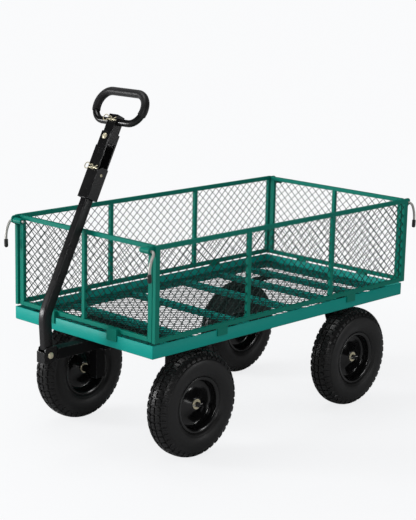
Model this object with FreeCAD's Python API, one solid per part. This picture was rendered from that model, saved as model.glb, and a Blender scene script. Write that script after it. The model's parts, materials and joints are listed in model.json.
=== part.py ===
import FreeCAD, Part
import math
import os

# Garden cart: steel tray on four wheels, mesh sides, pull handle and parallelogram steering.
# Millimetres. +Z is up and z = 0 is the ground. The pull end faces -Y and the tail faces +Y.
# Every y below is counted from the middle of the tray; the whole cart is moved along Y at the
# end, so that the middle of its overall length is at y = 0.

V = FreeCAD.Vector
X_AXIS = V(1, 0, 0)
Y_AXIS = V(0, 1, 0)
Z_AXIS = V(0, 0, 1)

# ---- driving dimensions -------------------------------------------------------------------
tray_length = 1172.0
tray_width = 612.0
lip_height = 40.0
lip_bottom = 352.0
sheet = 2.5
flange_width = 32.0
floor_height = 16.0
floor_thickness = 1.0
cross_width = 30.0
edge_gap = 0.5
body_gap = 0.3

panel_height = 282.0
panel_lift = 6.0
tube_depth = 12.0
rail_height = 13.0
end_post_width = 17.0
mid_post_width = 13.0
tube_wall = 1.5
mesh_thickness = 1.0
side_panel_out = 4.0
side_front_set_back = 4.0
side_tail_overhang = 9.0
front_panel_set_back = 8.0
tail_panel_overhang = 8.0
corner_gap = 6.0
side_bays = 3
end_bays = 2
tab_width = 42.0
tab_thickness = 3.5
tab_drop = 18.0
side_tab_places = (-302.0, 308.0)
end_tab_place = 137.0

latch_radius = 9.0
latch_length = 36.0
latch_forward = 11.0
latch_drop = 14.5
ear_thickness = 4.0
ear_reach = 22.0
ear_height = 31.0
pin_radius = 4.0
pin_clearance = 0.1
pin_stick_out = 6.0
pin_gap = 3.0
pin_bend = 11.0
pin_tail_length = 52.0
pin_tail_lean = 32.0
pin_tail_turn = 34.0
latch_grip_radius = 6.2
latch_grip_length = 27.0

tyre_radius = 165.0
tyre_half_width = 43.0
tyre_wall = 9.0
wheel_track_half = 251.0
front_axle_y = -367.0
rear_axle_y = 378.0
rim_flange_radius = 86.0
rim_barrel_radius = 77.0
rim_half_width = 33.0
rim_sheet = 3.0
hub_half_length = 18.5
hub_radius = 18.0
hub_cone_radius = 46.0
bearing_radius = 14.0
bearing_width = 8.0
axle_radius = 8.0
axle_clearance = 0.05
axle_washer_radius = 16.0
axle_washer_thickness = 2.5
axle_stick_out = 8.0
cotter_radius = 1.6
cotter_length = 30.0

bolster_length = 396.0
bolster_width = 100.0
bolster_height = 36.0
bolster_wall = 3.0
gusset_inner = 122.0
gusset_outer = 184.0
gusset_taper = 12.0
gusset_bottom = 304.0
gusset_thickness = 5.0
kingpin_x = 170.0
kingpin_radius = 8.0
thrust_washer = 3.0
plate_thickness = 6.0
knuckle_leg_in = 153.0
knuckle_leg_out = 186.0
knuckle_leg_depth = 36.0
knuckle_leg_below_axle = 15.0
stub_sleeve_wall = 5.0
knuckle_plate_rim = 4.0
nut_height = 8.0
nut_radius = 11.5

steer_pivot_y = -480.0
arm_x = 30.0
arm_y = 100.0
tie_bolt_radius = 5.0
open_pivot_clearance = 0.4
tie_head_radius = 8.0
tie_head_height = 3.0
tie_bar_width = 20.0
tie_bar_thickness = 6.0
tongue_width = 34.0
tongue_height = 32.0
tongue_wall = 3.0
tongue_tail = 30.0
steer_plate_half_width = 44.0
steer_plate_front = 34.0
steer_plate_waist = 60.0
steer_plate_margin = 14.0
mount_half_width = 45.0
mount_length = 90.0
mount_gap = 2.0

handle_ahead = 130.0
handle_pivot_z = 328.0
handle_bolt_radius = 5.0
handle_bolt_head = 10.0
handle_bolt_head_height = 5.0
tip_radius = 14.5
tongue_front_gap = 27.5
ear_side = 4.0
shoe_front = 20.0
shoe_rear = 24.0
shoe_below = 22.0
shoe_above = 26.0
shoe_web_top = 12.0
shoe_corner = 12.0
handle_tube_x = 26.0
handle_tube_depth = 31.0
handle_wall = 2.0
handle_tube_start = 18.0
bend_height = 118.0
lower_lean = -3.6
upper_lean = 26.5
bend_radius = 75.0
upper_tube_length = 424.0

hitch_wall = 4.0
hitch_half_width = 23.0
hitch_start = 360.0
hitch_web_top = 459.0
hitch_guard_top = 522.0
hitch_end = 567.0
hitch_chamfer = 14.0
stem_bolt_at = 551.0
stem_bolt_radius = 5.0
stem_bolt_head = 9.5
stem_bolt_head_height = 4.0
spare_hole_at = 502.0
spare_hole_radius = 4.0
hitch_pin_at = 450.0
hitch_pin_radius = 4.0
rivet_at = 436.0
rivet_radius = 3.5
rivet_head = 1.2
stem_start = 536.0
stem_end = 622.0
stem_width = 36.0
stem_gap = 0.5
stem_wall = 3.0
loop_bar_at = 603.0
loop_bar_radius = 10.5
loop_half_width = 100.0
loop_height = 93.0
loop_corner = 46.0
grip_radius = 12.6
grip_from = 27.0
loop_pin_radius = 3.5
clip_wire = 1.5
clip_leg = 40.0
clip_ring = 6.0
clip_stand_off = 5.0

strut_x = 190.0
strut_thickness = 5.0
strut_top_half = 70.0
strut_foot_half = 20.0
strut_waist = 70.0
strut_flange = 30.0
strut_sleeve_length = 36.0
frame_bolt_radius = 5.0
frame_bolt_head = 9.0
frame_bolt_head_height = 5.0

# ---- places worked out from the driving dimensions ------------------------------------------
half_length = tray_length / 2
handle_pivot_y = -half_length - handle_ahead
half_width = tray_width / 2
lip_top = lip_bottom + lip_height
floor_bottom = lip_bottom + floor_height
panel_bottom = lip_top + panel_lift
panel_top = panel_bottom + panel_height
side_face = half_width + side_panel_out
side_inner = side_face - tube_depth
side_front = -half_length + side_front_set_back
side_tail = half_length + side_tail_overhang
front_face = -half_length + front_panel_set_back
tail_face = half_length + tail_panel_overhang
end_panel_half = side_inner - corner_gap
latch_z = panel_top - latch_drop
latch_front_y = side_front - latch_forward
latch_tail_y = side_tail + latch_forward
axle_z = tyre_radius
hub_inner = wheel_track_half - hub_half_length
hub_outer = wheel_track_half + hub_half_length
axle_end = hub_outer + axle_washer_thickness + axle_stick_out
bolster_bottom = lip_bottom - bolster_height
stub_start = knuckle_leg_in + bolster_wall
rear_stub_start = strut_x - strut_thickness - strut_sleeve_length
knuckle_plate_top = bolster_bottom - thrust_washer - body_gap
knuckle_plate_bottom = knuckle_plate_top - plate_thickness
tongue_top = handle_pivot_z + tongue_height / 2
tongue_bottom = handle_pivot_z - tongue_height / 2
tie_bar_top = min(tongue_bottom - plate_thickness, knuckle_plate_bottom) - body_gap
tie_bar_bottom = tie_bar_top - tie_bar_thickness
handle_half_x = handle_tube_x / 2
hitch_half_depth = handle_tube_depth / 2 + hitch_wall


# ---- helpers --------------------------------------------------------------------------------
def box(x0, x1, y0, y1, z0, z1):
    return Part.makeBox(x1 - x0, y1 - y0, z1 - z0, V(x0, y0, z0))


def rod(start, direction, length, radius):
    return Part.makeCylinder(radius, length, start, direction)


def ring(start, direction, length, outer, inner):
    return rod(start, direction, length, outer).cut(rod(start, direction, length, inner))


def hexagon(start, direction, height, radius):
    """Hexagonal head or nut whose corners lie on a circle of the given radius."""
    points = [V(radius * math.cos(math.radians(60 * i)), radius * math.sin(math.radians(60 * i)), 0)
              for i in range(7)]
    prism = Part.Face(Part.makePolygon(points)).extrude(V(0, 0, height))
    prism.Placement = FreeCAD.Placement(start, FreeCAD.Rotation(Z_AXIS, direction))
    return prism


def prism_x(points, x0, x1):
    """Solid of constant section: points are (y, z) pairs and the section runs along X."""
    wire = Part.makePolygon([V(x0, y, z) for y, z in points + points[:1]])
    return Part.Face(wire).extrude(V(x1 - x0, 0, 0))


def plate_z(points, z0, z1):
    wire = Part.makePolygon([V(x, y, z0) for x, y in points + points[:1]])
    return Part.Face(wire).extrude(V(0, 0, z1 - z0))


def tube_box(x0, x1, y0, y1, z0, z1, wall, along):
    """Rectangular tube open at both ends along the named axis."""
    inner = {"x": (x0, x1, y0 + wall, y1 - wall, z0 + wall, z1 - wall),
             "y": (x0 + wall, x1 - wall, y0, y1, z0 + wall, z1 - wall),
             "z": (x0 + wall, x1 - wall, y0 + wall, y1 - wall, z0, z1)}[along]
    return box(x0, x1, y0, y1, z0, z1).cut(box(*inner))


def pipe(edges, radius):
    """Round bar along tangent edges that start at the first edge's first point."""
    path = Part.Wire(edges)
    start = edges[0].valueAt(edges[0].FirstParameter)
    tangent = edges[0].tangentAt(edges[0].FirstParameter)
    profile = Part.Wire(Part.makeCircle(radius, start, tangent))
    return path.makePipeShell([profile], True, False)


def mirrored(shape):
    """The same piece on the other side of the cart."""
    return shape.mirror(V(0, 0, 0), X_AXIS)


def group(shapes):
    solids = [solid for shape in shapes for solid in shape.Solids]
    return Part.makeCompound(solids)


pieces = {}


def save(name, shape):
    pieces[name] = shape


# ---- tray -----------------------------------------------------------------------------------
def tray_frame():
    """Upright lip on four sides, each with a flange turned in along its lower edge."""
    inner_x = half_width - sheet
    inner_y = half_length - sheet
    flange_x = inner_x - flange_width
    flange_y = inner_y - flange_width
    flange_top = lip_bottom + sheet
    parts = []
    for side in (-1, 1):
        y0, y1 = sorted((side * inner_y, side * half_length))
        parts.append(box(-half_width, half_width, y0, y1, lip_bottom, lip_top))
        y0, y1 = sorted((side * flange_y, side * inner_y))
        parts.append(box(-inner_x, inner_x, y0, y1, lip_bottom, flange_top))
        x0, x1 = sorted((side * inner_x, side * half_width))
        parts.append(box(x0, x1, -inner_y, inner_y, lip_bottom, lip_top))
        x0, x1 = sorted((side * flange_x, side * inner_x))
        parts.append(box(x0, x1, -flange_y, flange_y, lip_bottom, flange_top))
    return group(parts)


def floor_mesh():
    half_x = half_width - sheet - edge_gap
    half_y = half_length - sheet - edge_gap
    return box(-half_x, half_x, -half_y, half_y, floor_bottom, floor_bottom + floor_thickness)


cross_places = (steer_pivot_y, front_axle_y, (2 * front_axle_y + rear_axle_y) / 3,
                (front_axle_y + 2 * rear_axle_y) / 3, rear_axle_y - strut_top_half,
                rear_axle_y + strut_top_half)


def cross_members():
    half_x = half_width - sheet - flange_width
    return group([tube_box(-half_x, half_x, y - cross_width / 2, y + cross_width / 2,
                           lip_bottom, floor_bottom, tube_wall, "x") for y in cross_places])


# ---- mesh sides -----------------------------------------------------------------------------
def panel_flat(length, bays):
    """Frame and mesh of one side, lying along local X with its outer face at local y = 0."""
    z0 = panel_bottom
    z1 = panel_top
    half = length / 2
    mesh_y = tube_depth / 2
    frame = [tube_box(-half, -half + end_post_width, 0, tube_depth, z0, z1, tube_wall, "z"),
             tube_box(half - end_post_width, half, 0, tube_depth, z0, z1, tube_wall, "z")]
    inner = half - end_post_width
    frame.append(tube_box(-inner, inner, 0, tube_depth, z0, z0 + rail_height, tube_wall, "x"))
    frame.append(tube_box(-inner, inner, 0, tube_depth, z1 - rail_height, z1, tube_wall, "x"))
    mesh = []
    places = [-half + length * i / bays for i in range(bays + 1)]
    edges = [-inner]
    for place in places[1:-1]:
        x0 = place - mid_post_width / 2
        x1 = place + mid_post_width / 2
        frame.append(tube_box(x0, x1, 0, tube_depth, z0 + rail_height, z1 - rail_height,
                              tube_wall, "z"))
        edges.extend((x0, x1))
    edges.append(inner)
    for x0, x1 in zip(edges[::2], edges[1::2]):
        mesh.append(box(x0, x1, mesh_y - mesh_thickness / 2, mesh_y + mesh_thickness / 2,
                        z0 + rail_height, z1 - rail_height))
    return frame, mesh


def hook_tab(place, overhang):
    """Tab that hooks over the lip: a block on the lip and a plate down its outer face."""
    x0 = place - tab_width / 2
    x1 = place + tab_width / 2
    lip_face = overhang
    plate_inner = lip_face - edge_gap
    plate_outer = plate_inner - tab_thickness
    rail_outer = 0.0
    seat = lip_top + body_gap
    section = [(tube_depth, panel_bottom), (tube_depth, seat), (plate_inner, seat),
               (plate_inner, lip_top - tab_drop), (plate_outer, lip_top - tab_drop),
               (plate_outer, panel_bottom)]
    if plate_outer < rail_outer:
        section = section[:-1] + [(plate_outer, panel_bottom + rail_height),
                                  (rail_outer, panel_bottom + rail_height),
                                  (rail_outer, panel_bottom)]
    return prism_x(section, x0, x1)


def panel(length, bays, tab_places, overhang):
    frame, mesh = panel_flat(length, bays)
    frame.extend(hook_tab(place, overhang) for place in tab_places)
    return group(frame), group(mesh)


def put(shape, angle, place):
    """Turn a flat panel about Z and carry its outer face to its place."""
    moved = shape.copy()
    moved.rotate(V(0, 0, 0), Z_AXIS, angle)
    moved.translate(place)
    return moved


def latch_bracket(pin_y, post_end, outward):
    """Ear on the end post and the barrel that the latch pin runs in, on the +X side."""
    tip = post_end + outward * ear_reach
    bottom = panel_top - ear_height
    corner = ear_reach / 2
    mid = (post_end + tip) / 2
    outline = [V(side_inner, post_end, bottom), V(side_inner, tip, bottom + corner),
               V(side_inner, tip, panel_top - corner), V(side_inner, post_end, panel_top)]
    top_mid = V(side_inner, mid + outward * corner * math.sqrt(0.5),
                panel_top - corner + corner * math.sqrt(0.5))
    edges = [Part.LineSegment(outline[0], outline[1]).toShape(),
             Part.LineSegment(outline[1], outline[2]).toShape(),
             Part.Arc(outline[2], top_mid, V(side_inner, mid, panel_top)).toShape(),
             Part.LineSegment(V(side_inner, mid, panel_top), outline[3]).toShape(),
             Part.LineSegment(outline[3], outline[0]).toShape()]
    ear = Part.Face(Part.Wire(edges)).extrude(V(ear_thickness, 0, 0))
    bore = pin_radius + pin_clearance
    pin_hole = rod(V(side_inner - 1, pin_y, latch_z), X_AXIS, ear_thickness + 2, bore)
    barrel = ring(V(side_inner - latch_length, pin_y, latch_z), X_AXIS, latch_length,
                  latch_radius, bore)
    return [ear.cut(pin_hole), barrel]


def latch_pin(pin_y, outward):
    """Bent latch pin and its dipped grip, on the +X side."""
    start = V(side_inner - latch_length - pin_stick_out, pin_y, latch_z)
    bend_start = V(side_inner + ear_thickness + pin_gap, pin_y, latch_z)
    lean = math.radians(pin_tail_lean)
    down = V(0, outward * math.sin(lean), -math.cos(lean))
    bend_end = bend_start + X_AXIS * pin_bend + down * pin_bend
    diagonal = (X_AXIS - down) * (pin_bend * math.sqrt(0.5))
    bend_mid = bend_start + down * pin_bend + diagonal
    turn = math.radians(pin_tail_turn)
    tail_radius = pin_tail_length / turn
    towards = V(0, -outward * math.cos(lean), -math.sin(lean))

    def on_tail(angle):
        return bend_end + down * (tail_radius * math.sin(angle)) \
            + towards * (tail_radius * (1 - math.cos(angle)))

    edges = [Part.LineSegment(start, bend_start).toShape(),
             Part.Arc(bend_start, bend_mid, bend_end).toShape(),
             Part.Arc(bend_end, on_tail(turn / 2), on_tail(turn)).toShape()]
    tail = down * math.cos(turn) + towards * math.sin(turn)
    rod_shape = pipe(edges, pin_radius)
    grip = rod(on_tail(turn), tail, latch_grip_length, latch_grip_radius)
    grip = grip.makeFillet(latch_grip_radius * 0.45, grip.Edges)
    return rod_shape, grip


# ---- wheels ---------------------------------------------------------------------------------
def revolve_x(points, x, y, z):
    """Ring from (offset along X, radius) points, turned about the axle line."""
    wire = Part.makePolygon([V(x + a, y, z + r) for a, r in points + points[:1]])
    return Part.Face(wire).revolve(V(x, y, z), X_AXIS, 360)


def tyre_section(half, crown, bead_x, bead_r):
    """Half outline of the tyre from bead to crown as (offset, radius) points."""
    steps = 7
    bead_angle = -42
    shoulder = 0.8
    middle = (bead_r + crown) / 2
    rise = crown - middle
    points = [(bead_x, bead_r)]
    for i in range(steps):
        angle = math.radians(bead_angle + (90 - bead_angle) * i / (steps - 1))
        points.append((half * max(math.cos(angle), 0) ** shoulder,
                       middle + rise * math.copysign(abs(math.sin(angle)) ** shoulder, angle)))
    return points


def wheel(x, y):
    flange_x = rim_half_width - rim_sheet
    outer = tyre_section(tyre_half_width, tyre_radius, flange_x, rim_barrel_radius)
    outer = [outer[0], (flange_x, rim_flange_radius + edge_gap)] + outer[1:]
    inner = tyre_section(tyre_half_width - tyre_wall, tyre_radius - tyre_wall,
                         flange_x - tyre_wall, rim_barrel_radius)
    tyre = revolve_x(outer + [(-a, r) for a, r in outer[-2::-1]]
                     + [(-a, r) for a, r in inner] + inner[-2::-1], x, y, axle_z)

    barrel_inner = rim_barrel_radius - rim_sheet
    half_sheet = rim_sheet / 2
    side = [(half_sheet, barrel_inner), (rim_half_width, barrel_inner),
            (rim_half_width, rim_flange_radius), (flange_x, rim_flange_radius),
            (flange_x, rim_barrel_radius)]
    hub = [(half_sheet, hub_cone_radius), (hub_half_length - 2 * rim_sheet, hub_radius + rim_sheet),
           (hub_half_length, hub_radius), (hub_half_length, bearing_radius)]
    right = hub[::-1] + side
    rim = revolve_x(right + [(-a, r) for a, r in right[::-1]], x, y, axle_z)

    bearings = [ring(V(x + side_sign * hub_half_length - (bearing_width if side_sign > 0 else 0),
                       y, axle_z), X_AXIS, bearing_width, bearing_radius,
                     axle_radius + axle_clearance) for side_sign in (-1, 1)]
    return tyre, rim, group(bearings)


def wheel_hardware(y, inner_end):
    """Spacer, two washers and the cotter pin of a +X wheel, beside its hub."""
    bore = axle_radius
    gap = body_gap
    spacer_length = hub_inner - axle_washer_thickness - gap - inner_end
    spacer = ring(V(inner_end, y, axle_z), X_AXIS, spacer_length, bore + 4, bore)
    washers = [ring(V(place, y, axle_z), X_AXIS, axle_washer_thickness, axle_washer_radius, bore)
               for place in (hub_inner - gap - axle_washer_thickness, hub_outer + gap)]
    pin_x = hub_outer + gap + axle_washer_thickness + cotter_radius
    cotter = rod(V(pin_x, y - cotter_length / 2, axle_z), Y_AXIS, cotter_length, cotter_radius)
    return spacer, washers, cotter, pin_x


def axle_bar(x0, x1, y, pin_places):
    """Axle with a cross hole for each cotter pin."""
    bar = rod(V(x0, y, axle_z), X_AXIS, x1 - x0, axle_radius)
    for pin_x in pin_places:
        bar = bar.cut(rod(V(pin_x, y - 2 * axle_radius, axle_z), Y_AXIS, 4 * axle_radius,
                          cotter_radius))
    return bar


# ---- front axle and steering ----------------------------------------------------------------
def front_bolster():
    half = bolster_length / 2
    tube = tube_box(-half, half, front_axle_y - bolster_width / 2, front_axle_y + bolster_width / 2,
                    bolster_bottom, lip_bottom, bolster_wall, "x")
    for side in (-1, 1):
        tube = tube.cut(rod(V(side * kingpin_x, front_axle_y, bolster_bottom), Z_AXIS,
                            bolster_height - bolster_wall, kingpin_radius))
    return group([tube, bolster_gusset(), mirrored(bolster_gusset())])


def bolster_gusset():
    """Tapered plate on the front of the bolster, inboard of the turned tyre."""
    front = front_axle_y - bolster_width / 2
    outline = [V(gusset_inner, front, lip_bottom), V(gusset_inner + gusset_taper, front, gusset_bottom),
               V(gusset_outer, front, gusset_bottom), V(gusset_outer, front, lip_bottom)]
    face = Part.Face(Part.makePolygon(outline + outline[:1]))
    return face.extrude(V(0, -gusset_thickness, 0))


def kingpins():
    """Kingpin, thrust washer and nut on each side."""
    parts = []
    nut_top = knuckle_plate_bottom - body_gap
    for side in (-1, 1):
        x = side * kingpin_x
        bottom = nut_top - nut_height
        top = lip_bottom - bolster_wall
        parts.append(rod(V(x, front_axle_y, bottom), Z_AXIS, top - bottom, kingpin_radius))
        parts.append(ring(V(x, front_axle_y, bolster_bottom - thrust_washer), Z_AXIS,
                           thrust_washer, 2 * kingpin_radius, kingpin_radius))
        nut = hexagon(V(x, front_axle_y, bottom), Z_AXIS, nut_height, nut_radius)
        parts.append(nut.cut(rod(V(x, front_axle_y, bottom), Z_AXIS, nut_height, kingpin_radius)))
    return group(parts)


arm_pin = V(kingpin_x + arm_x, front_axle_y + arm_y, 0)
plate_pin = V(arm_x, steer_pivot_y + arm_y, 0)


def knuckle():
    """+X steering knuckle: top plate with its arm, and the leg that carries the stub axle."""
    half = knuckle_leg_depth / 2
    y = front_axle_y
    radius = tie_head_radius + 4
    rim = knuckle_plate_rim
    plate = box(knuckle_leg_in - rim, knuckle_leg_out + rim, y - half - rim, y + half + rim,
                knuckle_plate_bottom, knuckle_plate_top)
    arm = plate_z([(arm_pin.x - radius, arm_pin.y), (arm_pin.x + radius, arm_pin.y),
                   (knuckle_leg_out + rim, y + half), (knuckle_leg_in, y + half)],
                  knuckle_plate_bottom, knuckle_plate_top)
    eye = rod(V(arm_pin.x, arm_pin.y, knuckle_plate_bottom), Z_AXIS, plate_thickness, radius)
    plate = plate.fuse([arm, eye]).removeSplitter()
    plate = plate.cut(rod(V(kingpin_x, y, knuckle_plate_bottom), Z_AXIS, plate_thickness,
                          kingpin_radius + axle_clearance))
    plate = plate.cut(rod(V(arm_pin.x, arm_pin.y, knuckle_plate_bottom), Z_AXIS, plate_thickness,
                          tie_bolt_radius))
    bottom = axle_z - knuckle_leg_below_axle
    leg = box(knuckle_leg_in, knuckle_leg_out, y - half, y + half, bottom, knuckle_plate_bottom)
    leg = leg.cut(box(stub_start, knuckle_leg_out, y - half + bolster_wall,
                      y + half - bolster_wall, bottom, knuckle_plate_bottom))
    sleeve = ring(V(stub_start, y, axle_z), X_AXIS, knuckle_leg_out - stub_start,
                  axle_radius + stub_sleeve_wall, axle_radius)
    leg = leg.fuse(sleeve).removeSplitter()
    return group([plate, leg])


def tie_bolt(x, y, plate_top):
    """Bolt that a tie bar turns on: head on the plate, shank through the bar, nut below."""
    bottom = tie_bar_bottom - body_gap - nut_height
    shank = rod(V(x, y, bottom), Z_AXIS, plate_top - bottom, tie_bolt_radius)
    head = rod(V(x, y, plate_top), Z_AXIS, tie_head_height, tie_head_radius)
    nut = hexagon(V(x, y, bottom), Z_AXIS, nut_height, tie_head_radius + 1)
    return shank.fuse([head, nut]).removeSplitter()


def tie_bar():
    """+X tie bar from the steering plate to the knuckle arm."""
    start = V(plate_pin.x, plate_pin.y, tie_bar_bottom)
    end = V(arm_pin.x, arm_pin.y, tie_bar_bottom)
    along = (end - start).normalize()
    across = V(-along.y, along.x, 0) * (tie_bar_width / 2)
    corners = [start + across, end + across, end - across, start - across]
    bar = Part.Face(Part.makePolygon(corners + corners[:1])).extrude(V(0, 0, tie_bar_thickness))
    eyes = [rod(end_point, Z_AXIS, tie_bar_thickness, tie_bar_width / 2 + 2)
            for end_point in (start, end)]
    bar = bar.fuse(eyes).removeSplitter()
    for end_point, clearance in ((start, axle_clearance), (end, open_pivot_clearance)):
        bar = bar.cut(rod(end_point, Z_AXIS, tie_bar_thickness, tie_bolt_radius + clearance))
    return bar


def steering_mount():
    """Plate under the tray that carries the steering pin."""
    plate = box(-mount_half_width, mount_half_width, steer_pivot_y - mount_length / 2,
                steer_pivot_y + mount_length / 2, tongue_top + mount_gap, lip_bottom)
    return plate.cut(rod(V(0, steer_pivot_y, tongue_top), Z_AXIS, lip_bottom - tongue_top,
                         kingpin_radius))


def steering_pin():
    plate_bottom = tongue_bottom - plate_thickness
    bottom = plate_bottom - body_gap - nut_height
    pin = rod(V(0, steer_pivot_y, bottom), Z_AXIS, lip_bottom - bottom, kingpin_radius)
    nut = hexagon(V(0, steer_pivot_y, bottom), Z_AXIS, nut_height, nut_radius)
    nut = nut.cut(rod(V(0, steer_pivot_y, bottom), Z_AXIS, nut_height, kingpin_radius))
    washer = ring(V(0, steer_pivot_y, tongue_top + body_gap), Z_AXIS, mount_gap - body_gap,
                  2 * kingpin_radius, kingpin_radius)
    return group([pin, nut, washer])


def tongue():
    """Square tube with a rounded tip for the handle bolt at its front end."""
    front = handle_pivot_y + tongue_front_gap
    half = tongue_width / 2
    tip_half = handle_half_x - body_gap
    tube = tube_box(-half, half, front, steer_pivot_y + tongue_tail, tongue_bottom, tongue_top,
                    tongue_wall, "y")
    tube = tube.cut(rod(V(0, steer_pivot_y, tongue_bottom), Z_AXIS, tongue_height,
                        kingpin_radius + axle_clearance))
    tip = box(-tip_half, tip_half, handle_pivot_y, front + tongue_width,
              handle_pivot_z - tip_radius + 1.5, handle_pivot_z + tip_radius - 1.5)
    nose = rod(V(-tip_half, handle_pivot_y, handle_pivot_z), X_AXIS, 2 * tip_half,
               tip_radius - 1.5)
    tip = tip.fuse(nose).removeSplitter()
    tip = tip.cut(rod(V(-tip_half, handle_pivot_y, handle_pivot_z), X_AXIS, 2 * tip_half,
                      handle_bolt_radius + axle_clearance))
    end_cap = box(-half, half, front, front + tongue_wall, tongue_bottom, tongue_top)
    tube = tube.fuse(end_cap).removeSplitter().cut(tip)
    return tube, tip


def steering_plate():
    y = steer_pivot_y
    z0 = tongue_bottom - plate_thickness
    half = steer_plate_half_width
    waist = tongue_width / 2
    rear = y + arm_y + steer_plate_margin
    plate = plate_z([(-waist, y - steer_plate_front), (waist, y - steer_plate_front),
                     (waist, y + tongue_tail), (half, y + steer_plate_waist), (half, rear),
                     (-half, rear), (-half, y + steer_plate_waist), (-waist, y + tongue_tail)],
                    z0, tongue_bottom)
    plate = plate.cut(rod(V(0, y, z0), Z_AXIS, plate_thickness, kingpin_radius + axle_clearance))
    for side in (-1, 1):
        plate = plate.cut(rod(V(side * plate_pin.x, plate_pin.y, z0), Z_AXIS, plate_thickness,
                              tie_bolt_radius))
    return plate


# ---- handle ---------------------------------------------------------------------------------
pivot = V(0, handle_pivot_y, handle_pivot_z)
low_lean = math.radians(lower_lean)
high_lean = math.radians(upper_lean)
low_dir = V(0, math.sin(low_lean), math.cos(low_lean))
high_dir = V(0, math.sin(high_lean), math.cos(high_lean))
bend_point = pivot + low_dir * (bend_height / math.cos(low_lean))


def onto_handle(shape):
    """Carry a piece from the straight frame of the upper handle to its place on the cart.

    In that frame Z runs up the handle from the bend point, X is the cart's X, and -Y is
    the front of the handle.
    """
    moved = shape.copy()
    moved.Placement = FreeCAD.Placement(bend_point, FreeCAD.Rotation(X_AXIS, -upper_lean)) \
        .multiply(moved.Placement)
    return moved


def handle_band(half_depth, start, end, half_x):
    """Bent bar of the handle: a band of the given half depth, extruded along X."""
    turn = high_lean - low_lean
    setback = bend_radius * math.tan(turn / 2)
    low_front = V(0, -low_dir.z, low_dir.y)
    high_front = V(0, -high_dir.z, high_dir.y)
    middle = V(0, math.sin((low_lean + high_lean) / 2), math.cos((low_lean + high_lean) / 2))
    middle_front = V(0, -middle.z, middle.y)
    centre = bend_point - low_dir * setback - low_front * bend_radius
    sides = []
    for offset in (half_depth, -half_depth):
        radius = bend_radius + offset
        sides.append([start + low_front * offset, centre + low_front * radius,
                      centre + middle_front * radius, centre + high_front * radius,
                      end + high_front * offset])
    outer, inner = sides
    edges = [Part.LineSegment(outer[0], outer[1]).toShape(),
             Part.Arc(outer[1], outer[2], outer[3]).toShape(),
             Part.LineSegment(outer[3], outer[4]).toShape(),
             Part.LineSegment(outer[4], inner[4]).toShape(),
             Part.LineSegment(inner[4], inner[3]).toShape(),
             Part.Arc(inner[3], inner[2], inner[1]).toShape(),
             Part.LineSegment(inner[1], inner[0]).toShape(),
             Part.LineSegment(inner[0], outer[0]).toShape()]
    band = Part.Face(Part.Wire(edges)).extrude(V(2 * half_x, 0, 0))
    band.translate(V(-half_x, 0, 0))
    return band


def handle_tube():
    start = pivot + low_dir * handle_tube_start
    end = bend_point + high_dir * upper_tube_length
    outer = handle_band(handle_tube_depth / 2, start, end, handle_half_x)
    inner = handle_band(handle_tube_depth / 2 - handle_wall, start - low_dir, end + high_dir,
                        handle_half_x - handle_wall)
    return outer.cut(inner)


def handle_shoe():
    """U-shaped shoe on the foot of the handle: two ears and a web across their front."""
    y = handle_pivot_y
    z = handle_pivot_z
    front = y - shoe_front
    top = z + shoe_above
    bottom = z - shoe_rear
    corner = shoe_corner
    slant = shoe_rear * math.sqrt(0.5)
    points = [V(0, front, bottom), V(0, front, top - corner), V(0, front + corner, top),
              V(0, y + shoe_rear, top), V(0, y + shoe_rear, z), V(0, y, bottom)]
    round_mid = V(0, front + corner * (1 - math.sqrt(0.5)), top - corner * (1 - math.sqrt(0.5)))
    edges = [Part.LineSegment(points[0], points[1]).toShape(),
             Part.Arc(points[1], round_mid, points[2]).toShape(),
             Part.LineSegment(points[2], points[3]).toShape(),
             Part.LineSegment(points[3], points[4]).toShape(),
             Part.Arc(points[4], V(0, y + slant, z - slant), points[5]).toShape(),
             Part.LineSegment(points[5], points[0]).toShape()]
    face = Part.Face(Part.Wire(edges))
    ears = []
    for x0 in (-handle_half_x - ear_side, handle_half_x):
        ear = face.extrude(V(ear_side, 0, 0))
        ear.translate(V(x0, 0, 0))
        ears.append(ear)
    outer = handle_half_x + ear_side
    web = box(-outer, outer, front - ear_side, front, z - shoe_below, z + shoe_web_top)
    shoe = ears[0].fuse([ears[1], web]).removeSplitter()
    return shoe.cut(rod(pivot - X_AXIS * outer, X_AXIS, 2 * outer, handle_bolt_radius))


def handle_bolt():
    outer = handle_half_x + ear_side
    shank = rod(pivot - X_AXIS * (outer + nut_height), X_AXIS, 2 * outer + nut_height,
                handle_bolt_radius)
    head = rod(pivot + X_AXIS * outer, X_AXIS, handle_bolt_head_height, handle_bolt_head)
    nut = hexagon(pivot - X_AXIS * (outer + nut_height), X_AXIS, nut_height, handle_bolt_head)
    return shank.fuse([head, nut]).removeSplitter()


def hitch_channel():
    """Two hitch plates, front and rear, joined into a closed sleeve at their lower end."""
    depth = hitch_half_depth
    inner = depth - hitch_wall
    width = hitch_half_width
    web_x = -width + hitch_wall
    front = box(web_x, -web_x, -depth, -inner, hitch_start, hitch_end)
    rear = box(web_x, -web_x, inner, depth, hitch_start, hitch_end)
    web = prism_x([(-depth, hitch_start), (depth, hitch_start), (depth, hitch_web_top),
                   (-depth + hitch_chamfer, hitch_web_top),
                   (-depth, hitch_web_top - hitch_chamfer)], -width, web_x)
    guard = box(-width, web_x, -depth, depth, hitch_web_top - hitch_chamfer, hitch_guard_top)
    body = front.fuse([rear, web, mirrored(web), guard]).removeSplitter()
    body = body.cut(rod(V(-2 * width, 0, rivet_at), X_AXIS, 4 * width, rivet_radius))
    for place, radius in ((stem_bolt_at, stem_bolt_radius), (hitch_pin_at, hitch_pin_radius)):
        body = body.cut(rod(V(0, -2 * depth, place), Y_AXIS, 4 * depth, radius))
    body = body.cut(rod(V(0, -2 * depth, spare_hole_at), Y_AXIS, 2 * depth, spare_hole_radius))
    return onto_handle(body)


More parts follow.
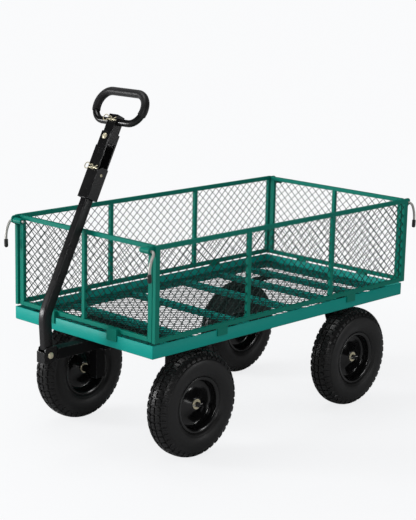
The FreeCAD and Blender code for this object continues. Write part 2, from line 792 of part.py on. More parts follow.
def cross_pin(place, radius, head_radius, head_height, half_span, tail):
    """Pin from front to rear across the hitch, with its head at the rear."""
    shank = rod(V(0, -half_span - tail, place), Y_AXIS, 2 * half_span + tail, radius)
    head = rod(V(0, half_span, place), Y_AXIS, head_height, head_radius)
    return shank.fuse(head).removeSplitter()


def spring_clip(place, half_span):
    """Spring clip in front of a cross pin: a straight leg with a ring at its end."""
    y = -half_span - clip_stand_off
    leg = rod(V(-clip_leg / 2, y, place), X_AXIS, clip_leg, clip_wire)
    loop = Part.makeTorus(clip_ring, clip_wire, V(-clip_leg / 2 - clip_ring, y, place), Y_AXIS)
    return leg.fuse(loop).removeSplitter()


def hitch_rivet():
    """Rivet across the sleeve, just above the end of the handle tube."""
    half = hitch_half_width + rivet_head
    return rod(V(-half, 0, rivet_at), X_AXIS, 2 * half, rivet_radius)


def pin_with_clip(place, radius, half_span):
    clip = spring_clip(place, half_span)
    pin = cross_pin(place, radius, radius + 3, 3.0, half_span, 2 * clip_stand_off)
    hole = rod(V(-clip_leg, -half_span - clip_stand_off, place), X_AXIS, 2 * clip_leg, clip_wire)
    return pin.cut(hole), clip


def stem():
    half_x = stem_width / 2
    half_y = handle_tube_depth / 2 - stem_gap
    tube = tube_box(-half_x, half_x, -half_y, half_y, stem_start, stem_end, stem_wall, "z")
    cap = box(-half_x, half_x, -half_y, half_y, stem_end - stem_wall, stem_end)
    tube = tube.fuse(cap).removeSplitter()
    tube = tube.cut(rod(V(0, -2 * half_y, stem_bolt_at), Y_AXIS, 4 * half_y,
                        stem_bolt_radius + axle_clearance))
    tube = tube.cut(rod(V(0, -2 * half_y, loop_bar_at), Y_AXIS, 4 * half_y, loop_pin_radius))
    tube = tube.cut(rod(V(-stem_width, 0, loop_bar_at), X_AXIS, 2 * stem_width, loop_bar_radius))
    return onto_handle(tube)


def loop_side():
    """Path of the loop from the middle of its lower bar to the middle of the grip, +X side."""
    half = loop_half_width
    corner = loop_corner
    low = loop_bar_at
    high = loop_bar_at + loop_height
    diagonal = corner * (1 - math.sqrt(0.5))
    points = [V(0, 0, low), V(half - corner, 0, low), V(half, 0, low + corner),
              V(half, 0, high - corner), V(half - corner, 0, high), V(0, 0, high)]
    low_mid = V(half - diagonal, 0, low + diagonal)
    high_mid = V(half - diagonal, 0, high - diagonal)
    return points, low_mid, high_mid


def loop_handle():
    points, low_mid, high_mid = loop_side()
    half_loop = [Part.LineSegment(points[0], points[1]).toShape(),
                 Part.Arc(points[1], low_mid, points[2]).toShape(),
                 Part.LineSegment(points[2], points[3]).toShape(),
                 Part.Arc(points[3], high_mid, points[4]).toShape(),
                 Part.LineSegment(points[4], points[5]).toShape()]
    right = pipe(half_loop, loop_bar_radius)
    loop = right.fuse(mirrored(right)).removeSplitter()
    return onto_handle(loop.cut(rod(V(0, -2 * loop_bar_radius, loop_bar_at), Y_AXIS,
                                    4 * loop_bar_radius, loop_pin_radius)))


def loop_grip():
    """Foam sleeve round the upper part of the loop."""
    points, low_mid, high_mid = loop_side()
    corner_centre = V(loop_half_width - loop_corner, 0, loop_bar_at + loop_corner)
    angle = math.acos((loop_corner - grip_from) / loop_corner)

    def on_corner(value):
        return corner_centre + V(loop_corner * math.sin(value), 0, -loop_corner * math.cos(value))

    middle = (angle + math.pi / 2) / 2
    right_edges = [Part.Arc(on_corner(angle), on_corner(middle), points[2]).toShape(),
                   Part.LineSegment(points[2], points[3]).toShape(),
                   Part.Arc(points[3], high_mid, points[4]).toShape(),
                   Part.LineSegment(points[4], points[5]).toShape()]
    right = pipe(right_edges, grip_radius).cut(pipe(right_edges, loop_bar_radius))
    return onto_handle(right.fuse(mirrored(right)).removeSplitter())


def stem_bolt():
    depth = hitch_half_depth
    shank = rod(V(0, -depth, stem_bolt_at), Y_AXIS, 2 * depth + nut_height, stem_bolt_radius)
    head = rod(V(0, -depth - stem_bolt_head_height, stem_bolt_at), Y_AXIS,
               stem_bolt_head_height, stem_bolt_head)
    nut = hexagon(V(0, depth, stem_bolt_at), Y_AXIS, nut_height, stem_bolt_head)
    return onto_handle(shank.fuse([head, nut]).removeSplitter())


# ---- rear axle ------------------------------------------------------------------------------
def rear_strut():
    """+X strut: tapered plate with a flange under the tray and a sleeve that holds the axle."""
    y = rear_axle_y
    waist_z = axle_z + strut_waist
    foot = strut_foot_half
    outline = [(y - strut_top_half, lip_bottom), (y - foot, waist_z), (y - foot, axle_z),
               (y + foot, axle_z), (y + foot, waist_z), (y + strut_top_half, lip_bottom)]
    inner = strut_x - strut_thickness
    plate = prism_x(outline, inner, strut_x)
    plate = plate.fuse(rod(V(inner, y, axle_z), X_AXIS, strut_thickness, foot))
    plate = plate.fuse(rod(V(rear_stub_start, y, axle_z), X_AXIS, strut_sleeve_length,
                           axle_radius + stub_sleeve_wall))
    flange = box(inner - strut_flange, inner, y - strut_top_half - cross_width / 2,
                 y + strut_top_half + cross_width / 2, lip_bottom - strut_thickness, lip_bottom)
    plate = plate.fuse(flange).removeSplitter()
    plate = plate.cut(rod(V(rear_stub_start, y, axle_z), X_AXIS, strut_x - rear_stub_start,
                          axle_radius))
    for place in frame_bolt_places():
        plate = plate.cut(rod(place - Z_AXIS * strut_thickness, Z_AXIS, strut_thickness,
                              frame_bolt_radius))
    return plate


def frame_bolt_places():
    x = strut_x - strut_thickness - strut_flange / 2
    return [V(x, rear_axle_y + side * strut_top_half, lip_bottom) for side in (-1, 1)]


def frame_bolts():
    """Hexagon bolts that hold the strut flanges up against the tray."""
    parts = []
    for place in frame_bolt_places():
        for side in (-1, 1):
            at = V(side * place.x, place.y, place.z - strut_thickness)
            head = hexagon(at - Z_AXIS * frame_bolt_head_height, Z_AXIS, frame_bolt_head_height,
                           frame_bolt_head)
            shank = rod(at, Z_AXIS, strut_thickness, frame_bolt_radius)
            parts.append(head.fuse(shank).removeSplitter())
    return group(parts)


# ---- build every node -----------------------------------------------------------------------
save("tray_frame", tray_frame())
save("floor_mesh", floor_mesh())
save("cross_members", cross_members())

side_length = side_tail - side_front
side_middle = (side_tail + side_front) / 2
side_tabs = [place - side_middle for place in side_tab_places]
end_tabs = (-end_tab_place, end_tab_place)
side_frame, side_mesh = panel(side_length, side_bays, side_tabs, side_panel_out)
right_frame = put(side_frame, 90, V(side_face, side_middle, 0))
right_mesh = put(side_mesh, 90, V(side_face, side_middle, 0))
right_latches = group([right_frame] + latch_bracket(latch_front_y, side_front, -1)
                      + latch_bracket(latch_tail_y, side_tail, 1))
save("right_panel_frame", right_latches)
save("right_panel_mesh", right_mesh)
save("left_panel_frame", mirrored(right_latches))
save("left_panel_mesh", mirrored(right_mesh))

front_frame, front_mesh = panel(2 * end_panel_half, end_bays, end_tabs, -front_panel_set_back)
save("front_panel_frame", put(front_frame, 0, V(0, front_face, 0)))
save("front_panel_mesh", put(front_mesh, 0, V(0, front_face, 0)))
tail_frame, tail_mesh = panel(2 * end_panel_half, end_bays, end_tabs, tail_panel_overhang)
save("tail_panel_frame", put(tail_frame, 180, V(0, tail_face, 0)))
save("tail_panel_mesh", put(tail_mesh, 180, V(0, tail_face, 0)))

for end_name, pin_y, outward in (("front", latch_front_y, -1), ("tail", latch_tail_y, 1)):
    pin, pin_grip = latch_pin(pin_y, outward)
    save("latch_pin_" + end_name + "_right", pin)
    save("latch_grip_" + end_name + "_right", pin_grip)
    save("latch_pin_" + end_name + "_left", mirrored(pin))
    save("latch_grip_" + end_name + "_left", mirrored(pin_grip))

for end_name, wheel_y in (("front", front_axle_y), ("rear", rear_axle_y)):
    tyre, rim, bearings = wheel(wheel_track_half, wheel_y)
    for part_name, shape in (("tyre", tyre), ("rim", rim), ("bearings", bearings)):
        save(part_name + "_" + end_name + "_right", shape)
        save(part_name + "_" + end_name + "_left", mirrored(shape))

save("front_bolster", front_bolster())
save("kingpins", kingpins())
knuckle_shape = knuckle()
spacer, washers, cotter, cotter_x = wheel_hardware(front_axle_y, knuckle_leg_out)
stub = axle_bar(stub_start, axle_end, front_axle_y, [cotter_x])
knuckle_hardware = group([spacer, cotter, tie_bolt(arm_pin.x, arm_pin.y, knuckle_plate_top)]
                         + washers)
save("knuckle_right", knuckle_shape)
save("knuckle_left", mirrored(knuckle_shape))
save("stub_axle_right", stub)
save("stub_axle_left", mirrored(stub))
save("knuckle_hardware_right", knuckle_hardware)
save("knuckle_hardware_left", mirrored(knuckle_hardware))
save("tie_bar_right", tie_bar())
save("tie_bar_left", mirrored(tie_bar()))

save("steering_mount", steering_mount())
save("steering_pin", steering_pin())
save("tongue_tube", group(tongue()))
save("steering_plate", steering_plate())
plate_bolt = tie_bolt(plate_pin.x, plate_pin.y, tongue_bottom)
save("steering_plate_bolts", group([plate_bolt, mirrored(plate_bolt)]))

save("rear_struts", group([rear_strut(), mirrored(rear_strut())]))
save("frame_bolts", frame_bolts())
rear_spacer, rear_washers, rear_cotter, rear_cotter_x = wheel_hardware(rear_axle_y, strut_x)
rear_stub = axle_bar(rear_stub_start, axle_end, rear_axle_y, [rear_cotter_x])
save("rear_axles", group([rear_stub, mirrored(rear_stub)]))
rear_hardware = group([rear_spacer, rear_cotter] + rear_washers)
save("rear_axle_hardware", group([rear_hardware, mirrored(rear_hardware)]))

save("handle_tube", handle_tube())
save("handle_shoe", handle_shoe())
save("handle_bolt", handle_bolt())
save("hitch_channel", hitch_channel())
hitch_pin, hitch_clip = pin_with_clip(hitch_pin_at, hitch_pin_radius, hitch_half_depth)
save("hitch_pins", onto_handle(group([hitch_pin, hitch_clip, hitch_rivet()])))
save("stem_bolt", stem_bolt())
save("stem", stem())
save("loop_handle", loop_handle())
save("loop_grip", loop_grip())
stem_half_depth = handle_tube_depth / 2 - stem_gap
loop_pin, loop_clip = pin_with_clip(loop_bar_at, loop_pin_radius, stem_half_depth)
save("loop_pin", onto_handle(group([loop_pin, loop_clip])))

# ---- centre the cart on its overall length and write every node ------------------------------
overall = group(pieces.values()).optimalBoundingBox(False, False)
cart_shift = -(overall.YMin + overall.YMax) / 2
os.makedirs("parts", exist_ok=True)
for name, shape in pieces.items():
    shape.translate(V(0, cart_shift, 0))
    shape.exportStep("parts/" + name + ".step")
print("y of the tray's middle:", cart_shift)
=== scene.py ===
import json
import math

import bmesh
import bpy
from mathutils import Matrix, Vector


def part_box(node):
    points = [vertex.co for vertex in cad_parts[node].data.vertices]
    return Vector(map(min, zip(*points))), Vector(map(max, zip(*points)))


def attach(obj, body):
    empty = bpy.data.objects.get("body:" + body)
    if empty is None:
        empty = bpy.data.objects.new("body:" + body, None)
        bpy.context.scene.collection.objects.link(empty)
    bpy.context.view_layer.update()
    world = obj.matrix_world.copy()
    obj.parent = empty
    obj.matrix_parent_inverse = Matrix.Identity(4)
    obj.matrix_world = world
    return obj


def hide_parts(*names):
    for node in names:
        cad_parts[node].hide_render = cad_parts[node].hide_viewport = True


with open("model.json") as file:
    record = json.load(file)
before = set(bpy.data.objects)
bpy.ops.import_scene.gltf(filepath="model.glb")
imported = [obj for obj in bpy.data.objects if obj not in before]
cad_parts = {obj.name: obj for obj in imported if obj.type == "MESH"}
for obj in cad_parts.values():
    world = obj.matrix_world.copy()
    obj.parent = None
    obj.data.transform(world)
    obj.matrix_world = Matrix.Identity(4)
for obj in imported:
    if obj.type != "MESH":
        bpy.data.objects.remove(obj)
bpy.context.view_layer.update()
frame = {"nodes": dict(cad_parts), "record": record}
nodes = frame["nodes"]
bodyOfNode = {node: body for body, members in frame["record"]["behaviour"]["bodies"].items()
              for node in members}
slotOfNode = {part["node"]: part["material_slot"] for part in frame["record"]["subparts"]}
trayLow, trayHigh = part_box("tray_frame")
trayMiddleY = (trayLow.y + trayHigh.y) / 2
print("frame loaded:", len(nodes), "nodes")


# ---- mesh helpers

def centreOf(node):
    low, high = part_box(node)
    return (low + high) / 2


def meshObject(name, bm, material, smoothAngle=35.0):
    bmesh.ops.recalc_face_normals(bm, faces=bm.faces)
    mesh = bpy.data.meshes.new(name)
    bm.to_mesh(mesh)
    bm.free()
    mesh.shade_smooth()
    mesh.set_sharp_from_angle(angle=math.radians(smoothAngle))
    obj = bpy.data.objects.new(name, mesh)
    bpy.context.collection.objects.link(obj)
    mesh.materials.append(material)
    return obj


def roundEdges(obj, width, segments=2, angle=32.0):
    bevel = obj.modifiers.new("rounded edges", "BEVEL")
    bevel.width = width
    bevel.segments = segments
    bevel.limit_method = "ANGLE"
    bevel.angle_limit = math.radians(angle)
    bevel.harden_normals = True
    bevel.use_clamp_overlap = True
    return obj


def place(obj, node, replaced=True):
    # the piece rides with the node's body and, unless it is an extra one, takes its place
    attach(obj, bodyOfNode[node])
    if replaced:
        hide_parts(node)


def addBox(bm, low, high):
    corners = [bm.verts.new((x, y, z)) for x in (low[0], high[0])
               for y in (low[1], high[1]) for z in (low[2], high[2])]
    for quad in ((0, 1, 3, 2), (4, 6, 7, 5), (0, 4, 5, 1), (2, 3, 7, 6), (0, 2, 6, 4), (1, 5, 7, 3)):
        bm.faces.new([corners[i] for i in quad])


def joinRings(bm, rings, closed=False, capped=False):
    # faces between neighbouring rings of vertices; a ring of one vertex is a tip
    steps = max(len(ring) for ring in rings)
    pairs = list(zip(rings, rings[1:]))
    if closed:
        pairs.append((rings[-1], rings[0]))
    for a, b in pairs:
        for i in range(steps):
            j = (i + 1) % steps
            quad = (a[i % len(a)], a[j % len(a)], b[j % len(b)], b[i % len(b)])
            corners = list(dict.fromkeys(quad))
            if len(corners) > 2:
                bm.faces.new(corners)
    if capped:
        bm.faces.new(rings[0][::-1])
        bm.faces.new(rings[-1])


def addPrism(bm, outline, push):
    # a flat outline of 3-D points, pushed along a vector
    joinRings(bm, [[bm.verts.new(Vector(p) + offset) for p in outline] for offset in (Vector(), push)],
              capped=True)


def addLathe(bm, profile, origin, axis, steps=64, closed=False):
    # profile of (distance along the axis, radius); closed joins the last point to the first
    axis = Vector(axis).normalized()
    side = axis.orthogonal().normalized()
    up = axis.cross(side)
    turns = [2 * math.pi * i / steps for i in range(steps)]
    rings = []
    for along, radius in profile:
        centre = Vector(origin) + axis * along
        spokes = [side * math.cos(t) + up * math.sin(t) for t in turns] if radius > 0 else [Vector()]
        rings.append([bm.verts.new(centre + spoke * radius) for spoke in spokes])
    joinRings(bm, rings, closed)


domeSet = {"height": 0.8, "shares": (0.35, 0.7, 0.92)}


def domeRings(bm, ring, middle, heading, radius):
    # rings that close a tube's end with a low dome
    rings = []
    for share in domeSet["shares"]:
        lift = heading * radius * domeSet["height"] * math.sin(share * math.pi / 2)
        shrink = math.cos(share * math.pi / 2)
        rings.append([bm.verts.new(middle + (v.co - middle) * shrink + lift) for v in ring])
    return rings + [[bm.verts.new(middle + heading * radius * domeSet["height"])]]


def addTube(bm, path, radius, sides=12, closed=False, roundEnd=True):
    # round bar along a smooth list of points
    points = [Vector(p) for p in path]
    count = len(points)
    turns = [2 * math.pi * k / sides for k in range(sides)]
    rings = []
    tangent = normal = None
    for i, point in enumerate(points):
        if closed:
            heading = (points[(i + 1) % count] - points[i - 1]).normalized()
        else:
            heading = (points[min(i + 1, count - 1)] - points[max(i - 1, 0)]).normalized()
        turned = heading.orthogonal() if normal is None else tangent.rotation_difference(heading) @ normal
        normal = turned.normalized()
        tangent = heading
        binormal = heading.cross(normal)
        rings.append([bm.verts.new(point + (normal * math.cos(t) + binormal * math.sin(t)) * radius)
                      for t in turns])
    if not closed and roundEnd:
        for end, inward in ((0, 1), (count - 1, -1)):
            heading = (points[end] - points[end + inward]).normalized()
            dome = domeRings(bm, rings[end], points[end], heading, radius)
            rings = rings + dome if end else dome[::-1] + rings
    joinRings(bm, rings, closed, capped=not closed and not roundEnd)


def arcPoints(centre, start, end, count):
    # points on the arc about centre from start to end, start left out
    a = Vector(start) - Vector(centre)
    b = Vector(end) - Vector(centre)
    axis, angle = a.rotation_difference(b).to_axis_angle()
    return [Vector(centre) + Matrix.Rotation(angle * i / count, 3, axis) @ a
            for i in range(1, count + 1)]


def roundedRectangle(halfX, halfY, radius, middleY=0.0, steps=4):
    points = []
    for cornerX, cornerY, startAngle in ((1, 1, 0), (-1, 1, 90), (-1, -1, 180), (1, -1, 270)):
        for i in range(steps + 1):
            angle = math.radians(startAngle + 90 * i / steps)
            points.append((cornerX * (halfX - radius) + radius * math.cos(angle),
                           middleY + cornerY * (halfY - radius) + radius * math.sin(angle)))
    return points


def cleanedCopy(name, node, material, edgeWidth):
    # the CAD node as one welded mesh with flat faces joined up and its edges softened
    bm = bmesh.new()
    bm.from_mesh(nodes[node].data)
    bmesh.ops.remove_doubles(bm, verts=bm.verts, dist=2e-6)
    bmesh.ops.dissolve_limit(bm, angle_limit=math.radians(0.6), verts=bm.verts, edges=bm.edges)
    place(roundEdges(meshObject(name, bm, material, 30.0), edgeWidth), node)


# ---- node tree helpers

def plug(tree, value, socket):
    # another node's output is linked, anything else becomes the input's value
    if isinstance(value, bpy.types.NodeSocket):
        tree.links.new(value, socket)
    elif socket.type == "RGBA":
        socket.default_value = (*value, 1.0)
    else:
        socket.default_value = value


def addNode(tree, kind, settings=None, ordered=(), **inputs):
    # ordered values are for nodes whose inputs share a name; None leaves its input alone
    node = tree.nodes.new(kind)
    for key, value in (settings or {}).items():
        setattr(node, key, value)
    for socket, value in zip(node.inputs, ordered):
        if value is not None:
            plug(tree, value, socket)
    for key, value in inputs.items():
        plug(tree, value, node.inputs[key.replace("_", " ")])
    return node.outputs


def calc(tree, operation, *values):
    return addNode(tree, "ShaderNodeMath", {"operation": operation}, values)[0]


def measure(tree, operation, *vectors):
    return addNode(tree, "ShaderNodeVectorMath", {"operation": operation}, vectors)["Value"]


def objectCoords(tree):
    return addNode(tree, "ShaderNodeTexCoord")["Object"]


def noiseOf(tree, coords, scale, detail=3.0, roughness=0.55):
    return addNode(tree, "ShaderNodeTexNoise", Vector=coords, Scale=scale, Detail=detail,
                   Roughness=roughness)["Fac"]


def spread(tree, value, low, high, toLow=0.0, toHigh=1.0):
    return addNode(tree, "ShaderNodeMapRange", {"interpolation_type": "SMOOTHSTEP"}, Value=value,
                   From_Min=low, From_Max=high, To_Min=toLow, To_Max=toHigh)["Result"]


def mixColour(tree, factor, a, b):
    return addNode(tree, "ShaderNodeMix", {"data_type": "RGBA"}, [factor] + [None] * 5 + [a, b])[2]


def useGroup(tree, group, **values):
    return addNode(tree, "ShaderNodeGroup", {"node_tree": group}, **values)


def shaderGroup(name, outputs, **inputs):
    # a group whose sockets are all numbers, with the object coordinates ready for it
    group = bpy.data.node_groups.new(name, "ShaderNodeTree")
    for label, value in inputs.items():
        socket = group.interface.new_socket(label.replace("_", " "), in_out="INPUT",
                                            socket_type="NodeSocketFloat")
        socket.default_value = value
    for label in outputs:
        group.interface.new_socket(label, in_out="OUTPUT", socket_type="NodeSocketFloat")
    start = addNode(group, "NodeGroupInput")
    return group, start, group.nodes.new("NodeGroupOutput").inputs, objectCoords(group)


def makeCoatGroup():
    # orange peel and slow shade changes of a sprayed coat
    group, start, end, coords = shaderGroup("powder coat", ("Peel", "Patches"),
                                            Peel_Scale=900.0, Patch_Scale=9.0)
    plug(group, noiseOf(group, coords, start["Peel Scale"], 2.0), end["Peel"])
    plug(group, noiseOf(group, coords, start["Patch Scale"], 4.0), end["Patches"])
    return group


def makeEdgeMaskGroup():
    # edges: where the rounded normal differs from the true one; this places rubbed wear and the painted edge
    # highlights
    group, start, end, coords = shaderGroup("edge mask", ("Mask",), Width=0.0015, Breakup=60.0)
    rounded = addNode(group, "ShaderNodeBevel", {"samples": 4}, Radius=start["Width"])[0]
    flat = addNode(group, "ShaderNodeNewGeometry")["True Normal"]
    edge = spread(group, measure(group, "DOT_PRODUCT", rounded, flat), 0.995, 0.86)
    breakup = spread(group, noiseOf(group, coords, start["Breakup"], 5.0, 0.7), 0.46, 0.62)
    plug(group, calc(group, "MULTIPLY", edge, breakup), end["Mask"])
    return group


def makeDustGroup():
    # fine dust that lies on faces that look up
    group, start, end, coords = shaderGroup("dust", ("Mask",), Amount=0.3, Scale=25.0)
    normal = addNode(group, "ShaderNodeNewGeometry")["Normal"]
    upward = spread(group, addNode(group, "ShaderNodeSeparateXYZ", Vector=normal)["Z"], 0.2, 1.0)
    cloud = spread(group, noiseOf(group, coords, start["Scale"], 6.0, 0.7), 0.35, 0.75)
    both = calc(group, "MULTIPLY", upward, cloud)
    plug(group, calc(group, "MULTIPLY", both, start["Amount"]), end["Mask"])
    return group


coatGroup = makeCoatGroup()
edgeMaskGroup = makeEdgeMaskGroup()
dustGroup = makeDustGroup()


# ---- materials

def startMaterial(name, **inputs):
    material = bpy.data.materials.new(name)
    material.use_nodes = True
    shader = material.node_tree.nodes["Principled BSDF"]
    for key, value in inputs.items():
        plug(material.node_tree, value, shader.inputs[key.replace("_", " ")])
    return material, material.node_tree, shader


def finishMaterial(tree, shader, colour, roughness, height, strength, distance):
    plug(tree, colour, shader.inputs["Base Color"])
    plug(tree, roughness, shader.inputs["Roughness"])
    bump = addNode(tree, "ShaderNodeBump", Height=height, Strength=strength, Distance=distance)
    plug(tree, bump["Normal"], shader.inputs["Normal"])


# a painted surface: two close shades, edges lightened for rubbed wear and as a painted highlight, dust,
# orange peel; each look changes the first
coatLook = {"deep": (0.002, 0.232, 0.196), "light": (0.003, 0.268, 0.228), "rubbedAndHighlight": (0.03, 0.38, 0.33),
            "dustColour": (0.25, 0.38, 0.34), "specular": 0.13, "roughness": 0.40, "peelScale": 950.0,
            "patchScale": 7.0, "peel": 0.12, "wearAndHighlight": 0.45, "edgeMaskWidth": 0.0016, "edgeMaskBreakup": 90.0,
            "dust": 0.03, "dustScale": 22.0, "dustRough": 0.35, "peelDepth": 0.0002, "smoother": 0.04,
            "rougher": 0.05}
# on the black coats (and the dull black copy) the light edge colour is mostly a painted highlight, standing
# in for reflections on the rounded corners
blackLook = {"deep": (0.0035, 0.0035, 0.0037), "light": (0.0056, 0.0056, 0.0060),
             "rubbedAndHighlight": (0.17, 0.17, 0.175), "dustColour": (0.16, 0.155, 0.14), "specular": 0.42,
             "roughness": 0.27, "peelScale": 1100.0, "patchScale": 10.0, "peel": 0.14, "wearAndHighlight": 1.0,
             "edgeMaskWidth": 0.0022, "edgeMaskBreakup": 120.0, "dust": 0.02}
panelLook = {"deep": (0.002, 0.135, 0.098), "light": (0.003, 0.168, 0.124), "rubbedAndHighlight": (0.03, 0.26, 0.21),
             "dustColour": (0.20, 0.32, 0.28), "roughness": 0.36, "wearAndHighlight": 0.40, "edgeMaskWidth": 0.0014,
             "dust": 0.01}
wireLook = {"deep": (0.0015, 0.014, 0.011), "light": (0.002, 0.026, 0.021), "rubbedAndHighlight": (0.02, 0.10, 0.085),
            "dustColour": (0.12, 0.15, 0.13), "specular": 0.35, "roughness": 0.45, "peelScale": 900.0,
            "patchScale": 14.0, "peel": 0.1, "wearAndHighlight": 0.3, "edgeMaskWidth": 0.0005, "edgeMaskBreakup": 120.0,
            "dust": 0.04}
rimLook = {"deep": (0.0026, 0.0026, 0.0028), "light": (0.0044, 0.0044, 0.0047),
           "rubbedAndHighlight": (0.10, 0.10, 0.105), "dustColour": (0.18, 0.17, 0.15), "specular": 0.55,
           "roughness": 0.16, "peelScale": 500.0, "patchScale": 16.0, "peel": 0.05, "wearAndHighlight": 0.5,
           "edgeMaskWidth": 0.0012, "edgeMaskBreakup": 70.0, "dust": 0.01}


def paintMaterial(name, **changes):
    look = {**coatLook, **changes}
    material, tree, shader = startMaterial(name, Specular_IOR_Level=look["specular"])
    coat = useGroup(tree, coatGroup, Peel_Scale=look["peelScale"], Patch_Scale=look["patchScale"])
    wearAndHighlight = useGroup(tree, edgeMaskGroup, Width=look["edgeMaskWidth"], Breakup=look["edgeMaskBreakup"])["Mask"]
    dust = useGroup(tree, dustGroup, Amount=look["dust"], Scale=look["dustScale"])["Mask"]
    base = mixColour(tree, coat["Patches"], look["deep"], look["light"])
    # edges mixed towards a lighter colour: rubbed wear, and on the black coats a painted edge highlight
    wornAndLit = mixColour(tree, calc(tree, "MULTIPLY", wearAndHighlight, look["wearAndHighlight"]), base, look["rubbedAndHighlight"])
    rough = spread(tree, coat["Patches"], 0.2, 0.8, look["roughness"] - look["smoother"],
                   look["roughness"] + look["rougher"])
    rough = calc(tree, "ADD", rough, calc(tree, "MULTIPLY", dust, look["dustRough"]))
    finishMaterial(tree, shader, mixColour(tree, dust, wornAndLit, look["dustColour"]), rough, coat["Peel"],
                   look["peel"], look["peelDepth"])
    return material


greenPaint = paintMaterial("green powder coat")
panelPaint = paintMaterial("deep green powder coat", **panelLook)
blackPaint = paintMaterial("black powder coat", **blackLook)
dullPaint = paintMaterial("dull black coat", **{**blackLook, "specular": 0.10, "roughness": 0.52,
                                                "wearAndHighlight": 0.8})
wirePaint = paintMaterial("dark green wire coat", **wireLook)
rimPaint = paintMaterial("black rim enamel", **rimLook)


def rubberDust(tree, coords):
    return useGroup(tree, dustGroup, Amount=0.06, Scale=30.0)["Mask"]


def platingSpots(tree, coords):
    return calc(tree, "MULTIPLY", spread(tree, noiseOf(tree, coords, 420.0), 0.60, 0.72), 0.4)


def rubbedSteel(tree, coords):
    return calc(tree, "MULTIPLY", useGroup(tree, edgeMaskGroup, Width=0.0008, Breakup=150.0)["Mask"], 0.5)


# cloud and grain are (scale, detail, roughness) of their noise; over is a third colour and its mask
cloudyLooks = {
    "tyre rubber": {"shader": {"Specular_IOR_Level": 0.38}, "cloud": (18.0, 5.0, 0.65),
                    "deep": (0.0060, 0.0060, 0.0062), "light": (0.0105, 0.0105, 0.0108),
                    "over": ((0.040, 0.038, 0.035), rubberDust), "span": (0.25, 0.75),
                    "roughness": (0.30, 0.46), "grain": (700.0, 3.0), "bump": (0.20, 0.0003)},
    "foam sleeve": {"shader": {"Specular_IOR_Level": 0.3, "Sheen_Weight": 0.12}, "cloud": (30.0, 4.0),
                    "deep": (0.0050, 0.0050, 0.0053), "light": (0.0095, 0.0095, 0.0100),
                    "roughness": (0.36, 0.46), "cells": 1400.0, "bump": (0.22, 0.0003)},
    "yellow zinc plate": {"shader": {"Metallic": 0.45}, "cloud": (70.0, 4.0), "deep": (0.52, 0.46, 0.30),
                          "light": (0.70, 0.66, 0.50), "over": ((0.42, 0.36, 0.24), platingSpots),
                          "roughness": (0.24, 0.38), "grain": (1500.0, 2.0), "bump": (0.1, 0.0001)},
    "pin steel": {"shader": {"Metallic": 0.55}, "cloud": (60.0, 5.0), "deep": (0.42, 0.41, 0.39),
                  "light": (0.60, 0.59, 0.56), "roughness": (0.28, 0.45), "grain": (1200.0, 2.0),
                  "bump": (0.1, 0.0001)},
    "dipped vinyl": {"shader": {}, "cloud": (45.0, 3.0), "deep": (0.010, 0.010, 0.010),
                     "light": (0.022, 0.022, 0.022), "roughness": (0.26, 0.40), "grain": (260.0, 2.0),
                     "bump": (0.15, 0.0004)},
    "blackened steel": {"shader": {"Metallic": 0.85}, "cloud": (80.0, 5.0), "deep": (0.012, 0.012, 0.012),
                        "light": (0.030, 0.029, 0.028), "over": ((0.16, 0.155, 0.15), rubbedSteel),
                        "roughness": (0.34, 0.50), "grain": (1300.0, 2.0), "bump": (0.12, 0.0001)},
}


def cloudyMaterial(name):
    look = cloudyLooks[name]
    material, tree, shader = startMaterial(name, **look["shader"])
    coords = objectCoords(tree)
    cloud = noiseOf(tree, coords, *look["cloud"])
    colour = mixColour(tree, cloud, look["deep"], look["light"])
    if "over" in look:
        third, mask = look["over"]
        colour = mixColour(tree, mask(tree, coords), colour, third)
    rough = spread(tree, cloud, *look.get("span", (0.3, 0.7)), *look["roughness"])
    if "cells" in look:
        height = addNode(tree, "ShaderNodeTexVoronoi", Vector=coords, Scale=look["cells"])["Distance"]
    else:
        height = noiseOf(tree, coords, *look["grain"])
    finishMaterial(tree, shader, colour, rough, height, *look["bump"])
    return material


tyreRubber, gripFoam, zincPlate, pinSteel, dippedVinyl, darkSteel = map(cloudyMaterial, cloudyLooks)
print("materials ready")


# ---- camera, floor and lights

cameraSet = {"place": (3.1041, -3.3137, 1.5129), "yaw": 43.53, "pitch": 12.53, "roll": 1.27, "lens": 99.79,
             "sensor": 36.0, "clip": 60.0}
stageSet = {"size": 30.0, "shown": (0.955, 0.960, 0.970), "bounce": (0.36, 0.36, 0.365), "shadow": 0.16,
            "fadeFrom": 0.9, "fadeTo": 2.0, "pale": ((0.82, 0.825, 0.83), (0.85, 0.853, 0.86)),
            "roughness": 0.9}
# the broad front lamp only gives soft light; the narrow ones make the highlights
lampSet = {
    "front": {"place": (-3.1, -4.0, 1.8), "aim": (0.1, -0.2, 0.3), "size": (1.2, 2.7), "power": 172.0,
              "gloss": False},
    "edge": {"place": (3.9, -3.9, 2.9), "aim": (0.1, -0.3, 0.5), "size": (0.35, 2.2), "power": 52.0},
    "tread": {"place": (-3.5, -3.7, 1.05), "aim": (0.2, -0.3, 0.2), "size": (0.9, 0.9), "power": 85.0},
    "side": {"place": (4.4, 2.6, 0.8), "aim": (0.2, 0.0, 0.25), "size": (0.5, 1.1), "power": 16.0},
    "low": {"place": (2.9, -0.9, 0.28), "aim": (0.2, -0.2, 0.15), "size": (0.9, 0.30), "power": 2.6},
    "top": {"place": (-0.6, -0.8, 4.2), "aim": (0.0, 0.0, 0.4), "size": (1.5, 1.5), "power": 40.0},
}
skySet = {"colour": (0.990, 0.995, 1.0), "light": 0.58, "shown": 0.962}


